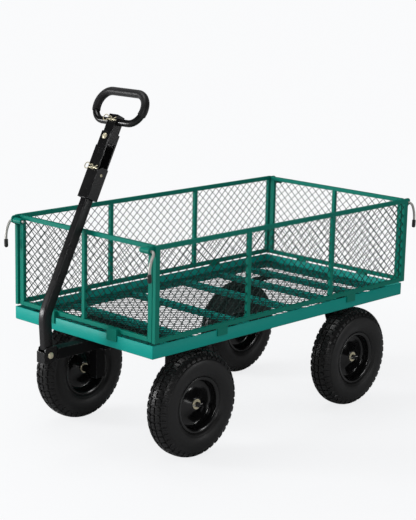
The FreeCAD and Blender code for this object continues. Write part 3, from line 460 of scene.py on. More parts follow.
def makeCamera():
    yaw, pitch, roll = (math.radians(cameraSet[key]) for key in ("yaw", "pitch", "roll"))
    ahead = Vector((-math.sin(yaw) * math.cos(pitch), math.cos(yaw) * math.cos(pitch), -math.sin(pitch)))
    right = Vector((math.cos(yaw), math.sin(yaw), 0.0))
    up = right.cross(ahead)
    turnedRight = right * math.cos(roll) + up * math.sin(roll)
    turnedUp = up * math.cos(roll) - right * math.sin(roll)
    camera = bpy.data.objects.new("camera", bpy.data.cameras.new("camera"))
    camera.data.lens = cameraSet["lens"]
    camera.data.sensor_width = cameraSet["sensor"]
    camera.data.clip_end = cameraSet["clip"]
    matrix = Matrix((turnedRight, turnedUp, -ahead)).transposed().to_4x4()
    matrix.translation = Vector(cameraSet["place"]) + Vector((0.0, trayMiddleY, 0.0))
    camera.matrix_world = matrix
    bpy.context.collection.objects.link(camera)
    bpy.context.scene.camera = camera


def makeStage():
    # seen directly the floor is almost white with faint shadows; it bounces less light than it shows
    s = stageSet
    bm = bmesh.new()
    bmesh.ops.create_grid(bm, x_segments=1, y_segments=1, size=s["size"])
    material, tree, shader = startMaterial("pale floor", Specular_IOR_Level=0.05, Roughness=s["roughness"])
    coords = objectCoords(tree)
    seen = addNode(tree, "ShaderNodeLightPath")["Is Camera Ray"]
    pale = mixColour(tree, noiseOf(tree, coords, 3.0), *s["pale"])
    plug(tree, mixColour(tree, seen, s["bounce"], pale), shader.inputs["Base Color"])
    away = spread(tree, measure(tree, "LENGTH", coords), s["fadeFrom"], s["fadeTo"], 1 - s["shadow"], 1.0)
    glow = addNode(tree, "ShaderNodeEmission", Color=s["shown"])[0]
    mixed = addNode(tree, "ShaderNodeMixShader", None,
                    (calc(tree, "MULTIPLY", away, seen), shader.outputs[0], glow))
    tree.links.new(mixed[0], tree.nodes["Material Output"].inputs["Surface"])
    meshObject("floor", bm, material)


def makeLights():
    for name, values in lampSet.items():
        data = bpy.data.lights.new(name, "AREA")
        data.shape = "RECTANGLE"
        data.size, data.size_y = values["size"]
        data.energy = values["power"]
        lamp = bpy.data.objects.new(name, data)
        lamp.location = values["place"]
        lamp.visible_glossy = values.get("gloss", True)
        lamp.rotation_mode = "QUATERNION"
        lamp.rotation_quaternion = (Vector(values["aim"]) - lamp.location).to_track_quat("-Z", "Y")
        bpy.context.collection.objects.link(lamp)
    # white all round for soft light, kept out of reflections so the black parts stay deep
    world = bpy.data.worlds.new("studio")
    world.use_nodes = True
    tree = world.node_tree
    background = tree.nodes["Background"].inputs
    plug(tree, skySet["colour"], background["Color"])
    seen = addNode(tree, "ShaderNodeLightPath")["Is Camera Ray"]
    extra = calc(tree, "MULTIPLY", seen, skySet["shown"] - skySet["light"])
    plug(tree, calc(tree, "ADD", extra, skySet["light"]), background["Strength"])
    world.cycles_visibility.glossy = False
    bpy.context.scene.world = world
    bpy.context.scene.view_settings.view_transform = "Standard"


makeCamera()
makeStage()
makeLights()
print("camera, floor and lights ready")


# ---- Geometry Nodes helpers

def geometryTree(name, **inputs):
    # every input is a number but the geometry and the material
    tree = bpy.data.node_groups.new(name, "GeometryNodeTree")
    tree.interface.new_socket("Geometry", in_out="INPUT", socket_type="NodeSocketGeometry")
    for label, value in inputs.items():
        kind = "NodeSocketInt" if isinstance(value, int) else "NodeSocketFloat"
        socket = tree.interface.new_socket(label.replace("_", " "), in_out="INPUT", socket_type=kind)
        socket.default_value = value
    tree.interface.new_socket("Material", in_out="INPUT", socket_type="NodeSocketMaterial")
    tree.interface.new_socket("Geometry", in_out="OUTPUT", socket_type="NodeSocketGeometry")
    return tree, addNode(tree, "NodeGroupInput"), tree.nodes.new("NodeGroupOutput").inputs


def finishTree(tree, start, end, geometry):
    real = addNode(tree, "GeometryNodeRealizeInstances", Geometry=geometry)[0]
    plug(tree, addNode(tree, "GeometryNodeSetMaterial", Geometry=real, Material=start["Material"])[0], end[0])


def bakedMesh(name, tree, values, seedMesh=None):
    # runs a tree once and gives its result as a plain mesh
    holder = bpy.data.objects.new(name, seedMesh or bpy.data.meshes.new(name + " seed"))
    bpy.context.collection.objects.link(holder)
    modifier = holder.modifiers.new("nodes", "NODES")
    modifier.node_group = tree
    for item in tree.interface.items_tree:
        if item.item_type == "SOCKET" and item.in_out == "INPUT" and item.name in values:
            modifier[item.identifier] = values[item.name]
    bpy.context.view_layer.update()
    graph = bpy.context.evaluated_depsgraph_get()
    mesh = bpy.data.meshes.new_from_object(holder.evaluated_get(graph))
    bpy.data.objects.remove(holder)
    mesh.name = name
    return mesh


def addMesh(bm, mesh, matrix):
    copy = mesh.copy()
    copy.transform(matrix)
    bm.from_mesh(copy)
    bpy.data.meshes.remove(copy)


# ---- diamond wire mesh of the sides and the floor

wireSet = {"Cell Width": 0.0320, "Cell Height": 0.0284, "Wire Width": 0.0026, "Wire Thickness": 0.0018}
wireSides = 6
wireWave = 0.22   # how far a strand swings out of the sheet, as a share of its thickness


def diamondTree():
    tree, start, end = geometryTree("diamond mesh", Width=0.4, Height=0.25, Cell_Width=0.03,
                                    Cell_Height=0.03, Wire_Width=0.002, Wire_Thickness=0.0015)
    width, height = start["Width"], start["Height"]
    halfAcross, halfUp = (calc(tree, "MULTIPLY", start[label], 0.5)
                          for label in ("Cell Width", "Cell Height"))
    steps = calc(tree, "ROUND", calc(tree, "DIVIDE", width, halfAcross))
    rows = calc(tree, "ROUND", calc(tree, "DIVIDE", height, halfUp))
    rowHeight = calc(tree, "DIVIDE", height, rows)
    grid = addNode(tree, "GeometryNodeMeshGrid", Size_X=width, Vertices_Y=rows,
                   Size_Y=calc(tree, "SUBTRACT", height, rowHeight), Vertices_X=calc(tree, "ADD", steps, 1.0))
    # only the edges along the strands stay
    ends = addNode(tree, "GeometryNodeInputMeshEdgeVertices")
    first, second = (addNode(tree, "ShaderNodeSeparateXYZ", Vector=ends[label])["X"]
                     for label in ("Position 1", "Position 2"))
    across = calc(tree, "ABSOLUTE", calc(tree, "SUBTRACT", first, second))
    strands = addNode(tree, "GeometryNodeDeleteGeometry", {"domain": "EDGE", "mode": "EDGE_FACE"},
                      Geometry=grid["Mesh"], Selection=calc(tree, "LESS_THAN", across, 0.0001))[0]
    # every other point of a strand goes up, the rest go down
    index = addNode(tree, "GeometryNodeInputIndex")[0]
    column = calc(tree, "FLOOR", calc(tree, "DIVIDE", calc(tree, "ADD", index, 0.5), rows))
    row = calc(tree, "SUBTRACT", index, calc(tree, "MULTIPLY", column, rows))
    odd = calc(tree, "MODULO", calc(tree, "ADD", column, row), 2.0)
    sign = calc(tree, "SUBTRACT", calc(tree, "MULTIPLY", odd, 2.0), 1.0)
    lift = calc(tree, "MULTIPLY", sign, calc(tree, "MULTIPLY", rowHeight, 0.5))
    depth = calc(tree, "MULTIPLY", sign, calc(tree, "MULTIPLY", start["Wire Thickness"], wireWave))
    offset = addNode(tree, "ShaderNodeCombineXYZ", Y=lift, Z=depth)[0]
    moved = addNode(tree, "GeometryNodeSetPosition", Geometry=strands, Offset=offset)[0]
    curve = addNode(tree, "GeometryNodeMeshToCurve", Mesh=moved)[0]
    profile = addNode(tree, "GeometryNodeCurvePrimitiveCircle", Resolution=wireSides,
                      Radius=calc(tree, "MULTIPLY", start["Wire Width"], 0.5))[0]
    swept = addNode(tree, "GeometryNodeCurveToMesh", Curve=curve, Profile_Curve=profile, Fill_Caps=True)[0]
    finishTree(tree, start, end, swept)
    return tree


diamondNodes = diamondTree()


def diamondSheet(width, height):
    return bakedMesh("diamond sheet", diamondNodes,
                     {**wireSet, "Width": width, "Height": height, "Material": wirePaint})


def placeSheets(name, node, placedSheets):
    bm = bmesh.new()
    for mesh, matrix in placedSheets:
        addMesh(bm, mesh, matrix)
    place(meshObject(name, bm, wirePaint, 60.0), node)


# ---- mesh sides

panelSet = {"tubeDepth": 0.012, "railHeight": 0.013, "endPost": 0.017, "midPost": 0.013, "edgeRound": 0.0012,
            "sideBays": 3, "endBays": 2, "tabWidth": 0.042, "tabThickness": 0.0035, "tabDrop": 0.018,
            "sideTabs": (-0.302, 0.308), "endTab": 0.137, "lipGap": 0.0003, "tabClear": 0.0005}
latchSet = {"barrelRadius": 0.009, "barrelLength": 0.036, "forward": 0.011, "drop": 0.0145,
            "earThickness": 0.004, "earReach": 0.022, "earHeight": 0.031, "earSteps": 8, "bore": 0.0003,
            "edge": 0.0008, "pinRadius": 0.004, "stickOut": 0.006, "pinGap": 0.003, "bend": 0.011,
            "tailLength": 0.052, "tailLean": 32.0, "tailTurn": 34.0, "tipRadius": 0.0062,
            "tipLength": 0.027}


def panelMatrix(origin, along, inward):
    # local x runs along the panel, y goes into the cart, z is up
    matrix = Matrix((along, inward, (0, 0, 1))).transposed().to_4x4()
    matrix.translation = origin
    return matrix


def addPanel(bm, length, bays, bottom, top, matrix, tabs, overhang):
    # frame tubes and tabs go into bm, and the bays' wire sheets are returned with their places
    s = panelSet
    lipTop = trayHigh.z
    half = length / 2
    start = len(bm.verts)
    inner = half - s["endPost"]
    low, high = bottom + s["railHeight"], top - s["railHeight"]
    addBox(bm, (-half, 0, bottom), (-inner, s["tubeDepth"], top))
    addBox(bm, (inner, 0, bottom), (half, s["tubeDepth"], top))
    addBox(bm, (-inner, 0, bottom), (inner, s["tubeDepth"], low))
    addBox(bm, (-inner, 0, high), (inner, s["tubeDepth"], top))
    edges = [-inner]
    for i in range(1, bays):
        at = -half + length * i / bays
        addBox(bm, (at - s["midPost"] / 2, 0, low), (at + s["midPost"] / 2, s["tubeDepth"], high))
        edges += [at - s["midPost"] / 2, at + s["midPost"] / 2]
    edges.append(inner)
    plateIn = overhang - s["tabClear"]
    plateOut = plateIn - s["tabThickness"]
    for at in tabs:
        section = [(s["tubeDepth"], bottom), (s["tubeDepth"], lipTop + s["lipGap"]),
                   (plateIn, lipTop + s["lipGap"]), (plateIn, lipTop - s["tabDrop"]),
                   (plateOut, lipTop - s["tabDrop"]), (plateOut, bottom)]
        if plateOut < 0:
            section = section[:-1] + [(plateOut, low), (0, low), (0, bottom)]
        addPrism(bm, [(at - s["tabWidth"] / 2, y, z) for y, z in section], Vector((s["tabWidth"], 0, 0)))
    bm.verts.ensure_lookup_table()
    for vert in bm.verts[start:]:
        vert.co = matrix @ vert.co
    sheets = []
    turn = Matrix.Rotation(math.pi / 2, 4, "X")
    for a, b in zip(edges[::2], edges[1::2]):
        local = Matrix.Translation(((a + b) / 2, s["tubeDepth"] / 2, (low + high) / 2)) @ turn
        sheets.append((diamondSheet(b - a, high - low), matrix @ local))
    return sheets


def placePanel(name, word, bm, sheets):
    frameObject = roundEdges(meshObject(name + "Frame", bm, panelPaint), panelSet["edgeRound"])
    place(frameObject, word + "_panel_frame")
    placeSheets(name + "Mesh", word + "_panel_mesh", sheets)


def barProfile(length, radius, bore, edge):
    # outline of a bored bar with small chamfers, for a closed lathe
    return [(0.0, bore), (0.0, radius - edge), (edge, radius), (length - edge, radius),
            (length, radius - edge), (length, bore)]


def addLatchBracket(bm, side, pinY, postEnd, outward, inner, top):
    # rounded ear on the end post, on the side of the cart given by its sign
    s = latchSet
    radius = s["earReach"] / 2
    bottom = top - s["earHeight"]
    outline = [(postEnd, bottom), (postEnd + outward * s["earReach"], bottom + radius)]
    for i in range(s["earSteps"] + 1):
        angle = math.pi / 2 * i / s["earSteps"]
        outline.append((postEnd + outward * (radius + radius * math.cos(angle)),
                        top - radius + radius * math.sin(angle)))
    outline.append((postEnd, top))
    addPrism(bm, [(side * inner, y, z) for y, z in outline], Vector((side * s["earThickness"], 0, 0)))
    profile = barProfile(s["barrelLength"], s["barrelRadius"], s["pinRadius"] + s["bore"], s["edge"])
    addLathe(bm, profile, (side * inner, pinY, top - s["drop"]), (-side, 0, 0), 28, closed=True)


def makeLatchPin(side, end, inner, pinY, outward, z):
    s = latchSet
    start = Vector((side * (inner - s["barrelLength"] - s["stickOut"]), pinY, z))
    bendStart = Vector((side * (inner + s["earThickness"] + s["pinGap"]), pinY, z))
    lean = math.radians(s["tailLean"])
    down = Vector((0, outward * math.sin(lean), -math.cos(lean)))
    bendEnd = bendStart + Vector((side * s["bend"], 0, 0)) + down * s["bend"]
    path = [start.lerp(bendStart, i / 8) for i in range(9)]
    path += arcPoints(bendStart + down * s["bend"], bendStart, bendEnd, 8)
    turn = math.radians(s["tailTurn"])
    radius = s["tailLength"] / turn
    towards = Vector((0, -outward * math.cos(lean), -math.sin(lean)))
    for i in range(1, 11):
        angle = turn * i / 10
        path.append(bendEnd + down * radius * math.sin(angle) + towards * radius * (1 - math.cos(angle)))
    bm = bmesh.new()
    addTube(bm, path, s["pinRadius"], 16)
    place(meshObject("latchRod_" + end, bm, pinSteel, 60.0), "latch_pin_" + end)
    tail = (down * math.cos(turn) + towards * math.sin(turn)).normalized()
    r = s["tipRadius"]
    length = s["tipLength"]
    profile = [(0.0, s["pinRadius"] * 1.02), (0.0004, r * 0.80), (0.0016, r * 0.93), (0.004, r),
               (length * 0.5, r), (length - r * 0.75, r * 0.98), (length - r * 0.35, r * 0.80),
               (length - r * 0.1, r * 0.48), (length, 0.0)]
    bm = bmesh.new()
    addLathe(bm, profile, path[-1], tail, 20)
    place(meshObject("latchTip_" + end, bm, dippedVinyl, 60.0), "latch_grip_" + end)


def makeSidePanel(side, word):
    s = panelSet
    low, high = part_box(word + "_panel_frame")
    meshLow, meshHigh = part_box(word + "_panel_mesh")
    outer = high.x if side > 0 else -low.x
    inner = outer - s["tubeDepth"]
    start, finish = meshLow.y - s["endPost"], meshHigh.y + s["endPost"]
    middle = (start + finish) / 2
    matrix = panelMatrix((side * outer, middle, 0), (0, 1, 0), (-side, 0, 0))
    bm = bmesh.new()
    tabs = [at + trayMiddleY - middle for at in s["sideTabs"]]
    sheets = addPanel(bm, finish - start, s["sideBays"], meshLow.z - s["railHeight"], high.z, matrix, tabs,
                      outer - trayHigh.x)
    for end, postEnd, outward in (("front_", start, -1), ("tail_", finish, 1)):
        pinY = postEnd + outward * latchSet["forward"]
        addLatchBracket(bm, side, pinY, postEnd, outward, inner, high.z)
        makeLatchPin(side, end + word, inner, pinY, outward, high.z - latchSet["drop"])
    placePanel(word + "Side", word, bm, sheets)


def makeEndPanel(outward, word):
    s = panelSet
    low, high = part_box(word + "_panel_frame")
    meshLow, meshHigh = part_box(word + "_panel_mesh")
    face = (meshLow.y + meshHigh.y) / 2 + outward * s["tubeDepth"] / 2
    matrix = panelMatrix((0, face, 0), (-outward, 0, 0), (0, -outward, 0))
    bm = bmesh.new()
    overhang = outward * (face - (trayLow.y if outward < 0 else trayHigh.y))
    sheets = addPanel(bm, high.x - low.x, s["endBays"], meshLow.z - s["railHeight"], high.z, matrix,
                      (-s["endTab"], s["endTab"]), overhang)
    placePanel(word + "End", word, bm, sheets)


makeSidePanel(1, "right")
makeSidePanel(-1, "left")
makeEndPanel(-1, "front")
makeEndPanel(1, "tail")
print("mesh sides ready")


# ---- tray

traySet = {"sheet": 0.0025, "flange": 0.032, "bendRadius": 0.0035, "bendFlat": 0.002,
           "cornerRadius": 0.0030, "smallestCorner": 0.0006, "edge": 0.0006, "edgeIn": 0.0003,
           "edgeTop": 0.0002,
           "bendSteps": 6}


def makeTray():
    s = traySet
    bottom, top = trayLow.z, trayHigh.z
    sheet, bend, flat = s["sheet"], s["bendRadius"], s["bendRadius"] + s["bendFlat"]
    inner = s["flange"] + sheet
    # section of the bent sheet as (distance in from the outer face, height)
    section = [(s["edgeIn"], top - s["edgeTop"]), (0.0, top - s["edge"])]
    section += [(bend - bend * math.cos(a), bottom + bend - bend * math.sin(a))
                for a in (math.pi / 2 * i / s["bendSteps"] for i in range(s["bendSteps"] + 1))]
    section += [(inner, bottom), (inner, bottom + sheet), (flat, bottom + sheet), (sheet, bottom + flat),
                (sheet, top - s["edge"]), (sheet - s["edgeIn"], top)]
    bm = bmesh.new()
    rings = []
    for inset, z in section:
        corner = max(s["cornerRadius"] - inset, s["smallestCorner"])
        outline = roundedRectangle(trayHigh.x - inset, (trayHigh.y - trayLow.y) / 2 - inset, corner,
                                   trayMiddleY)
        rings.append([bm.verts.new((x, y, z)) for x, y in outline])
    joinRings(bm, rings, closed=True)
    place(meshObject("trayLip", bm, greenPaint, 40.0), "tray_frame")
    low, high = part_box("floor_mesh")
    turn = Matrix.Translation((0, *((low + high) / 2).yz)) @ Matrix.Rotation(math.pi / 2, 4, "Z")
    placeSheets("floorWire", "floor_mesh", [(diamondSheet(high.y - low.y, high.x - low.x), turn)])


makeTray()
print("tray ready")


# ---- wheels

tyreSet = {"Half Width": 0.043, "Radius": 0.165, "Middle": 0.121, "Power": 2.5, "Height": 0.0048,
           "Blocks": 42}
blockSet = {"sipe": 0.0011, "zig": 0.0012, "taper": 0.0013, "inset": 0.0011, "root": 0.001}
# each row of tread blocks: place across, width, length, skew, phase as a share of the pitch
treadRows = ((0.0, 0.0150, 0.0200, 0.0015, 0.0), (0.0178, 0.0150, 0.0200, 0.0015, 0.12),
             (-0.0178, 0.0150, 0.0200, -0.0015, 0.12), (0.0330, 0.0110, 0.0165, 0.0010, 0.5),
             (-0.0330, 0.0110, 0.0165, -0.0010, 0.5))
# half outlines as (distance from the middle plane, radius); the tyre's runs from its bead to its shoulder
sidewall = [(0.0302, 0.0790), (0.0306, 0.0864), (0.0335, 0.0880), (0.0352, 0.0905), (0.0368, 0.0930),
            (0.0372, 0.0946), (0.0386, 0.0966), (0.0403, 0.1015), (0.0418, 0.1080), (0.0427, 0.1150),
            (0.0430, 0.1215), (0.0426, 0.1290), (0.0416, 0.1355), (0.0404, 0.1400), (0.0398, 0.1408),
            (0.0392, 0.1404)]
crownPlaces = (0.0375, 0.034, 0.029, 0.023, 0.016, 0.008, 0.0)
rimDish = [(0.0300, 0.0770), (0.0303, 0.0846), (0.0312, 0.0857), (0.0326, 0.0860), (0.0334, 0.0852),
           (0.0334, 0.0838), (0.0326, 0.0815), (0.0322, 0.0785), (0.0308, 0.0762), (0.0285, 0.0749),
           (0.0240, 0.0742), (0.0110, 0.0737), (0.0070, 0.0728), (0.0042, 0.0704), (0.0030, 0.0668),
           (0.0024, 0.0610), (0.0024, 0.0540), (0.0032, 0.0480), (0.0052, 0.0430), (0.0082, 0.0370),
           (0.0115, 0.0308), (0.0145, 0.0256), (0.0168, 0.0222), (0.0180, 0.0200), (0.0185, 0.0185),
           (0.0185, 0.0140)]


def crownRadius(offset):
    low, power = tyreSet["Middle"], tyreSet["Power"]
    share = max(1 - (abs(offset) / tyreSet["Half Width"]) ** power, 0.0)
    return low + (tyreSet["Radius"] - low) * share ** (1 / power)


def treadTree():
    # blocks laid out flat, then wrapped round the crown
    tree, out, end = geometryTree("tread rows", Blocks=40, Row_Offset=0.0, Phase=0.0, Radius=0.165,
                                  Middle=0.121, Half_Width=0.043, Power=2.5, Height=0.005)
    around = calc(tree, "MULTIPLY", out["Radius"], 2 * math.pi)
    pitch = calc(tree, "DIVIDE", around, out["Blocks"])
    begin = addNode(tree, "ShaderNodeCombineXYZ", X=out["Row Offset"],
                    Y=calc(tree, "MULTIPLY", pitch, out["Phase"]))[0]
    step = addNode(tree, "ShaderNodeCombineXYZ", Y=pitch)[0]
    line = addNode(tree, "GeometryNodeMeshLine", {"mode": "OFFSET"}, Count=out["Blocks"],
                   Start_Location=begin, Offset=step)[0]
    blocks = addNode(tree, "GeometryNodeInstanceOnPoints", Points=line, Instance=out["Geometry"])[0]
    real = addNode(tree, "GeometryNodeRealizeInstances", Geometry=blocks)[0]
    flat = addNode(tree, "ShaderNodeSeparateXYZ", Vector=addNode(tree, "GeometryNodeInputPosition")[0])
    across = calc(tree, "DIVIDE", calc(tree, "ABSOLUTE", flat["X"]), out["Half Width"])
    left = calc(tree, "SUBTRACT", 1.0, calc(tree, "POWER", across, out["Power"]))
    bulge = calc(tree, "POWER", calc(tree, "MAXIMUM", left, 0.0), calc(tree, "DIVIDE", 1.0, out["Power"]))
    rise = calc(tree, "MULTIPLY", calc(tree, "SUBTRACT", out["Radius"], out["Middle"]), bulge)
    crown = calc(tree, "ADD", out["Middle"], rise)
    radius = calc(tree, "ADD", crown, calc(tree, "SUBTRACT", flat["Z"], out["Height"]))
    angle = calc(tree, "DIVIDE", flat["Y"], out["Radius"])
    y, z = (calc(tree, "MULTIPLY", radius, calc(tree, wave, angle)) for wave in ("SINE", "COSINE"))
    wrapped = addNode(tree, "ShaderNodeCombineXYZ", X=flat["X"], Y=y, Z=z)[0]
    finishTree(tree, out, end, addNode(tree, "GeometryNodeSetPosition", Geometry=real, Position=wrapped)[0])
    return tree


def blockMesh(width, length, height, skew):
    # one tread block with a tapered top and a sipe across it
    s = blockSet
    bm = bmesh.new()
    for part, (a, b) in enumerate(((-length / 2, -s["sipe"] / 2), (s["sipe"] / 2, length / 2))):
        base, top = [], []
        for i in range(3):
            x = width * (i / 2 - 0.5)
            zig = skew * (x / width) + s["zig"] * (1 if i == 1 else -1)
            for y in (a, b):
                nearSipe = (y == b) if part == 0 else (y == a)
                shrink = 0.0 if nearSipe else s["taper"]
                inset = s["inset"] if i != 1 else 0.0
                base.append(bm.verts.new((x, y + zig, -s["root"])))
                top.append(bm.verts.new((x - math.copysign(inset, x),
                                         y + zig - math.copysign(shrink, y), height)))
        for k in (0, 2):
            bm.faces.new((top[k], top[k + 2], top[k + 3], top[k + 1]))
            bm.faces.new((base[k], base[k + 2], top[k + 2], top[k]))
            bm.faces.new((base[k + 1], top[k + 1], top[k + 3], base[k + 3]))
            bm.faces.new((base[k], base[k + 1], base[k + 3], base[k + 2]))
        bm.faces.new((base[0], top[0], top[1], base[1]))
        bm.faces.new((base[4], base[5], top[5], top[4]))
    bmesh.ops.recalc_face_normals(bm, faces=bm.faces)
    mesh = bpy.data.meshes.new("block")
    bm.to_mesh(mesh)
    bm.free()
    return mesh


def makeWheels():
    height = tyreSet["Height"]
    tree = treadTree()
    rows = [bakedMesh("tread row", tree,
                      {**tyreSet, "Row Offset": across, "Phase": phase, "Material": tyreRubber},
                      blockMesh(width, length, height, skew))
            for across, width, length, skew, phase in treadRows]
    half = sidewall + [(x, crownRadius(x) - height) for x in crownPlaces]
    outline = half + [(-x, r) for x, r in half[-2::-1]] + [(-0.024, 0.0790), (0.024, 0.0790)]
    rimOutline = rimDish + [(-x, r) for x, r in rimDish[::-1]]
    for name in ("front_right", "front_left", "rear_right", "rear_left"):
        centre = centreOf("tyre_" + name)
        bm = bmesh.new()
        addLathe(bm, outline, centre, (1, 0, 0), 96, closed=True)
        for row in rows:
            addMesh(bm, row, Matrix.Translation(centre))
        place(meshObject("tyreTread_" + name, bm, tyreRubber, 38.0), "tyre_" + name)
        bm = bmesh.new()
        addLathe(bm, rimOutline, centre, (1, 0, 0), 80, closed=True)
        place(meshObject("dishedRim_" + name, bm, rimPaint, 50.0), "rim_" + name)


makeWheels()
print("wheels ready")


# ---- pull handle

handleSet = {"lowLean": -3.6, "highLean": 26.5, "bendHeight": 0.118, "bendRadius": 0.075, "tubeStart": 0.018,
             "straightTo": 0.06, "tubeX": 0.026, "tubeDepth": 0.031, "cornerRadius": 0.0042,
             "upperLength": 0.424}
loopSet = {"bar": 0.603, "barRadius": 0.0105, "halfWidth": 0.100, "height": 0.093, "corner": 0.046,
           "gripRadius": 0.0126, "gripFrom": 0.027, "gripEdge": 0.0016, "cornerSteps": 12, "sides": 24}
pivot = centreOf("handle_bolt")
pivot.x = 0.0
lowLean = math.radians(handleSet["lowLean"])
highLean = math.radians(handleSet["highLean"])
lowWay = Vector((0, math.sin(lowLean), math.cos(lowLean)))
highWay = Vector((0, math.sin(highLean), math.cos(highLean)))
bendPoint = pivot + lowWay * (handleSet["bendHeight"] / math.cos(lowLean))
frontWay = Vector((0, -math.cos(highLean), math.sin(highLean)))


def upHandle(x, forward, along):
    # a place on the straight upper part: x across, forward of the middle line, along it from the bend
    return bendPoint + Vector((x, 0, 0)) + frontWay * forward + highWay * along


def makeHandleTube():
    s = handleSet
    setback = s["bendRadius"] * math.tan((highLean - lowLean) / 2)
    arcStart = bendPoint - lowWay * setback
    arcEnd = bendPoint + highWay * setback
    centre = arcStart + Vector((0, lowWay.z, -lowWay.y)) * s["bendRadius"]
    path = [pivot + lowWay * s["tubeStart"], pivot + lowWay * s["straightTo"], arcStart]
    path += arcPoints(centre, arcStart, arcEnd, 12)
    path += [arcEnd.lerp(bendPoint + highWay * s["upperLength"], t) for t in (0.05, 0.5, 1.0)]
    bm = bmesh.new()
    rings = []
    for i, point in enumerate(path):
        heading = (path[min(i + 1, len(path) - 1)] - path[max(i - 1, 0)]).normalized()
        front = Vector((0, -heading.z, heading.y))
        section = roundedRectangle(s["tubeX"] / 2, s["tubeDepth"] / 2, s["cornerRadius"])
        rings.append([bm.verts.new(point + Vector((x, 0, 0)) + front * y) for x, y in section])
    joinRings(bm, rings, capped=True)
    place(meshObject("handleBar", bm, blackPaint, 40.0), "handle_tube")


def makeLoop():
    s = loopSet
    flat = [(x, z + s["bar"] + s["height"] / 2) for x, z in
            roundedRectangle(s["halfWidth"], s["height"] / 2, s["corner"], steps=s["cornerSteps"])]
    # from the lower right corner on, so that the sleeve's part of the path is in one piece
    flat = flat[-s["cornerSteps"] - 1:] + flat[:-s["cornerSteps"] - 1]
    bm = bmesh.new()
    addTube(bm, [upHandle(x, 0, z) for x, z in flat], s["barRadius"], s["sides"], closed=True)
    place(meshObject("loopBar", bm, blackPaint, 60.0), "loop_handle")
    bm = bmesh.new()
    upper = [upHandle(x, 0, z) for x, z in flat if z >= s["bar"] + s["gripFrom"]]
    addTube(bm, upper, s["gripRadius"], s["sides"], roundEnd=False)
    place(roundEdges(meshObject("foamSleeve", bm, gripFoam, 50.0), s["gripEdge"], 3), "loop_grip")


makeHandleTube()
makeLoop()


# ---- bolts, washers, clips and cotter pins

hardwareSet = {"headRadius": 0.0098, "headHeight": 0.0048, "headSeat": 0.005, "shankRadius": 0.005,
               "nutRadius": 0.0095,
               "nutHeight": 0.0079, "stemBoltHead": 0.0092, "stemHeadHeight": 0.0042, "stemBoltAt": 0.551,
               "stemShank": 0.045, "hitchDepth": 0.0195, "pinReach": 0.0095, "pinHead": 0.003,
               "rivetAt": 0.436, "rivetX": 0.023, "rivetRadius": 0.0045, "rivetHeight": 0.0016,
               "clipWire": 0.0014, "clipRing": 0.0082, "clipScale": 1.12, "cotterRadius": 0.001152,
               "cotterOut": 0.0016, "washerRadius": 0.0159, "washerThickness": 0.0025, "washerBore": 0.0081,
               "washerEdge": 0.0005, "grooveRadius": 0.0113, "grooveDepth": 0.0009, "gap": 0.0003,
               "spacerBore": 0.008, "spacerRadius": 0.012, "spacerEdge": 0.0004, "knuckleLeg": 0.026,
               "tieBoltX": 0.200, "tieBoltIn": 0.009, "tieBoltBelow": 0.0083, "tieHeadRadius": 0.008,
               "tieHeadHeight": 0.003, "tieNutRadius": 0.009}
# the spring clip in its own plane: a straight leg through the pin, and a waved leg that springs over it
clipLeg = [(0.024, 0.0), (0.012, 0.0), (0.0, 0.0), (-0.010, 0.0)]
clipWave = [(-0.0065, 0.0062), (-0.0020, 0.0086), (0.0030, 0.0075), (0.0065, 0.0030), (0.0110, 0.0018),
            (0.0160, 0.0050), (0.0215, 0.0082)]


def domedHead(bm, origin, axis, radius, height, steps=32):
    # low dome with a soft rim and a shallow ring pressed into it
    profile = ((0.0, 0.985), (0.22, 1.0), (0.40, 0.97), (0.62, 0.86), (0.80, 0.68), (0.84, 0.60),
               (0.78, 0.55), (0.84, 0.50), (0.95, 0.30), (1.0, 0.0))
    addLathe(bm, [(height * up, radius * out) for up, out in profile], origin, axis, steps)


def hexNut(bm, origin, axis, radius, height):
    profile = ((0.0, 0.0), (0.0, 0.93), (0.14, 1.0), (0.86, 1.0), (1.0, 0.93), (1.0, 0.0))
    addLathe(bm, [(height * up, radius * out) for up, out in profile], origin, axis, 6)


def shank(bm, origin, axis, length):
    radius = hardwareSet["shankRadius"]
    addLathe(bm, [(0.0, 0.0), (0.0, radius), (length, radius), (length, 0.0)], origin, axis, 20)


def springClip(bm, origin):
    h = hardwareSet
    ring = h["clipRing"]
    eye = [math.radians(-42 - 276 * i / 14) for i in range(15)]
    loop = [(-0.017 + ring * math.cos(a) * 1.02, ring * (0.45 + math.sin(a))) for a in eye]
    flat = [Vector(p) * h["clipScale"] for p in clipLeg + loop + clipWave]
    last = len(flat) - 1
    smooth = []
    for i in range(last):
        p0, p1, p2, p3 = (flat[max(min(k, last), 0)] for k in (i - 1, i, i + 1, i + 2))
        for t in (0.0, 0.25, 0.5, 0.75):
            smooth.append(0.5 * ((2 * p1) + (p2 - p0) * t + (2 * p0 - 5 * p1 + 4 * p2 - p3) * t * t
                                 + (3 * p1 - p0 - 3 * p2 + p3) * t ** 3))
    smooth.append(flat[-1])
    addTube(bm, [origin + Vector((x, 0, 0)) + highWay * y for x, y in smooth], h["clipWire"], 8)


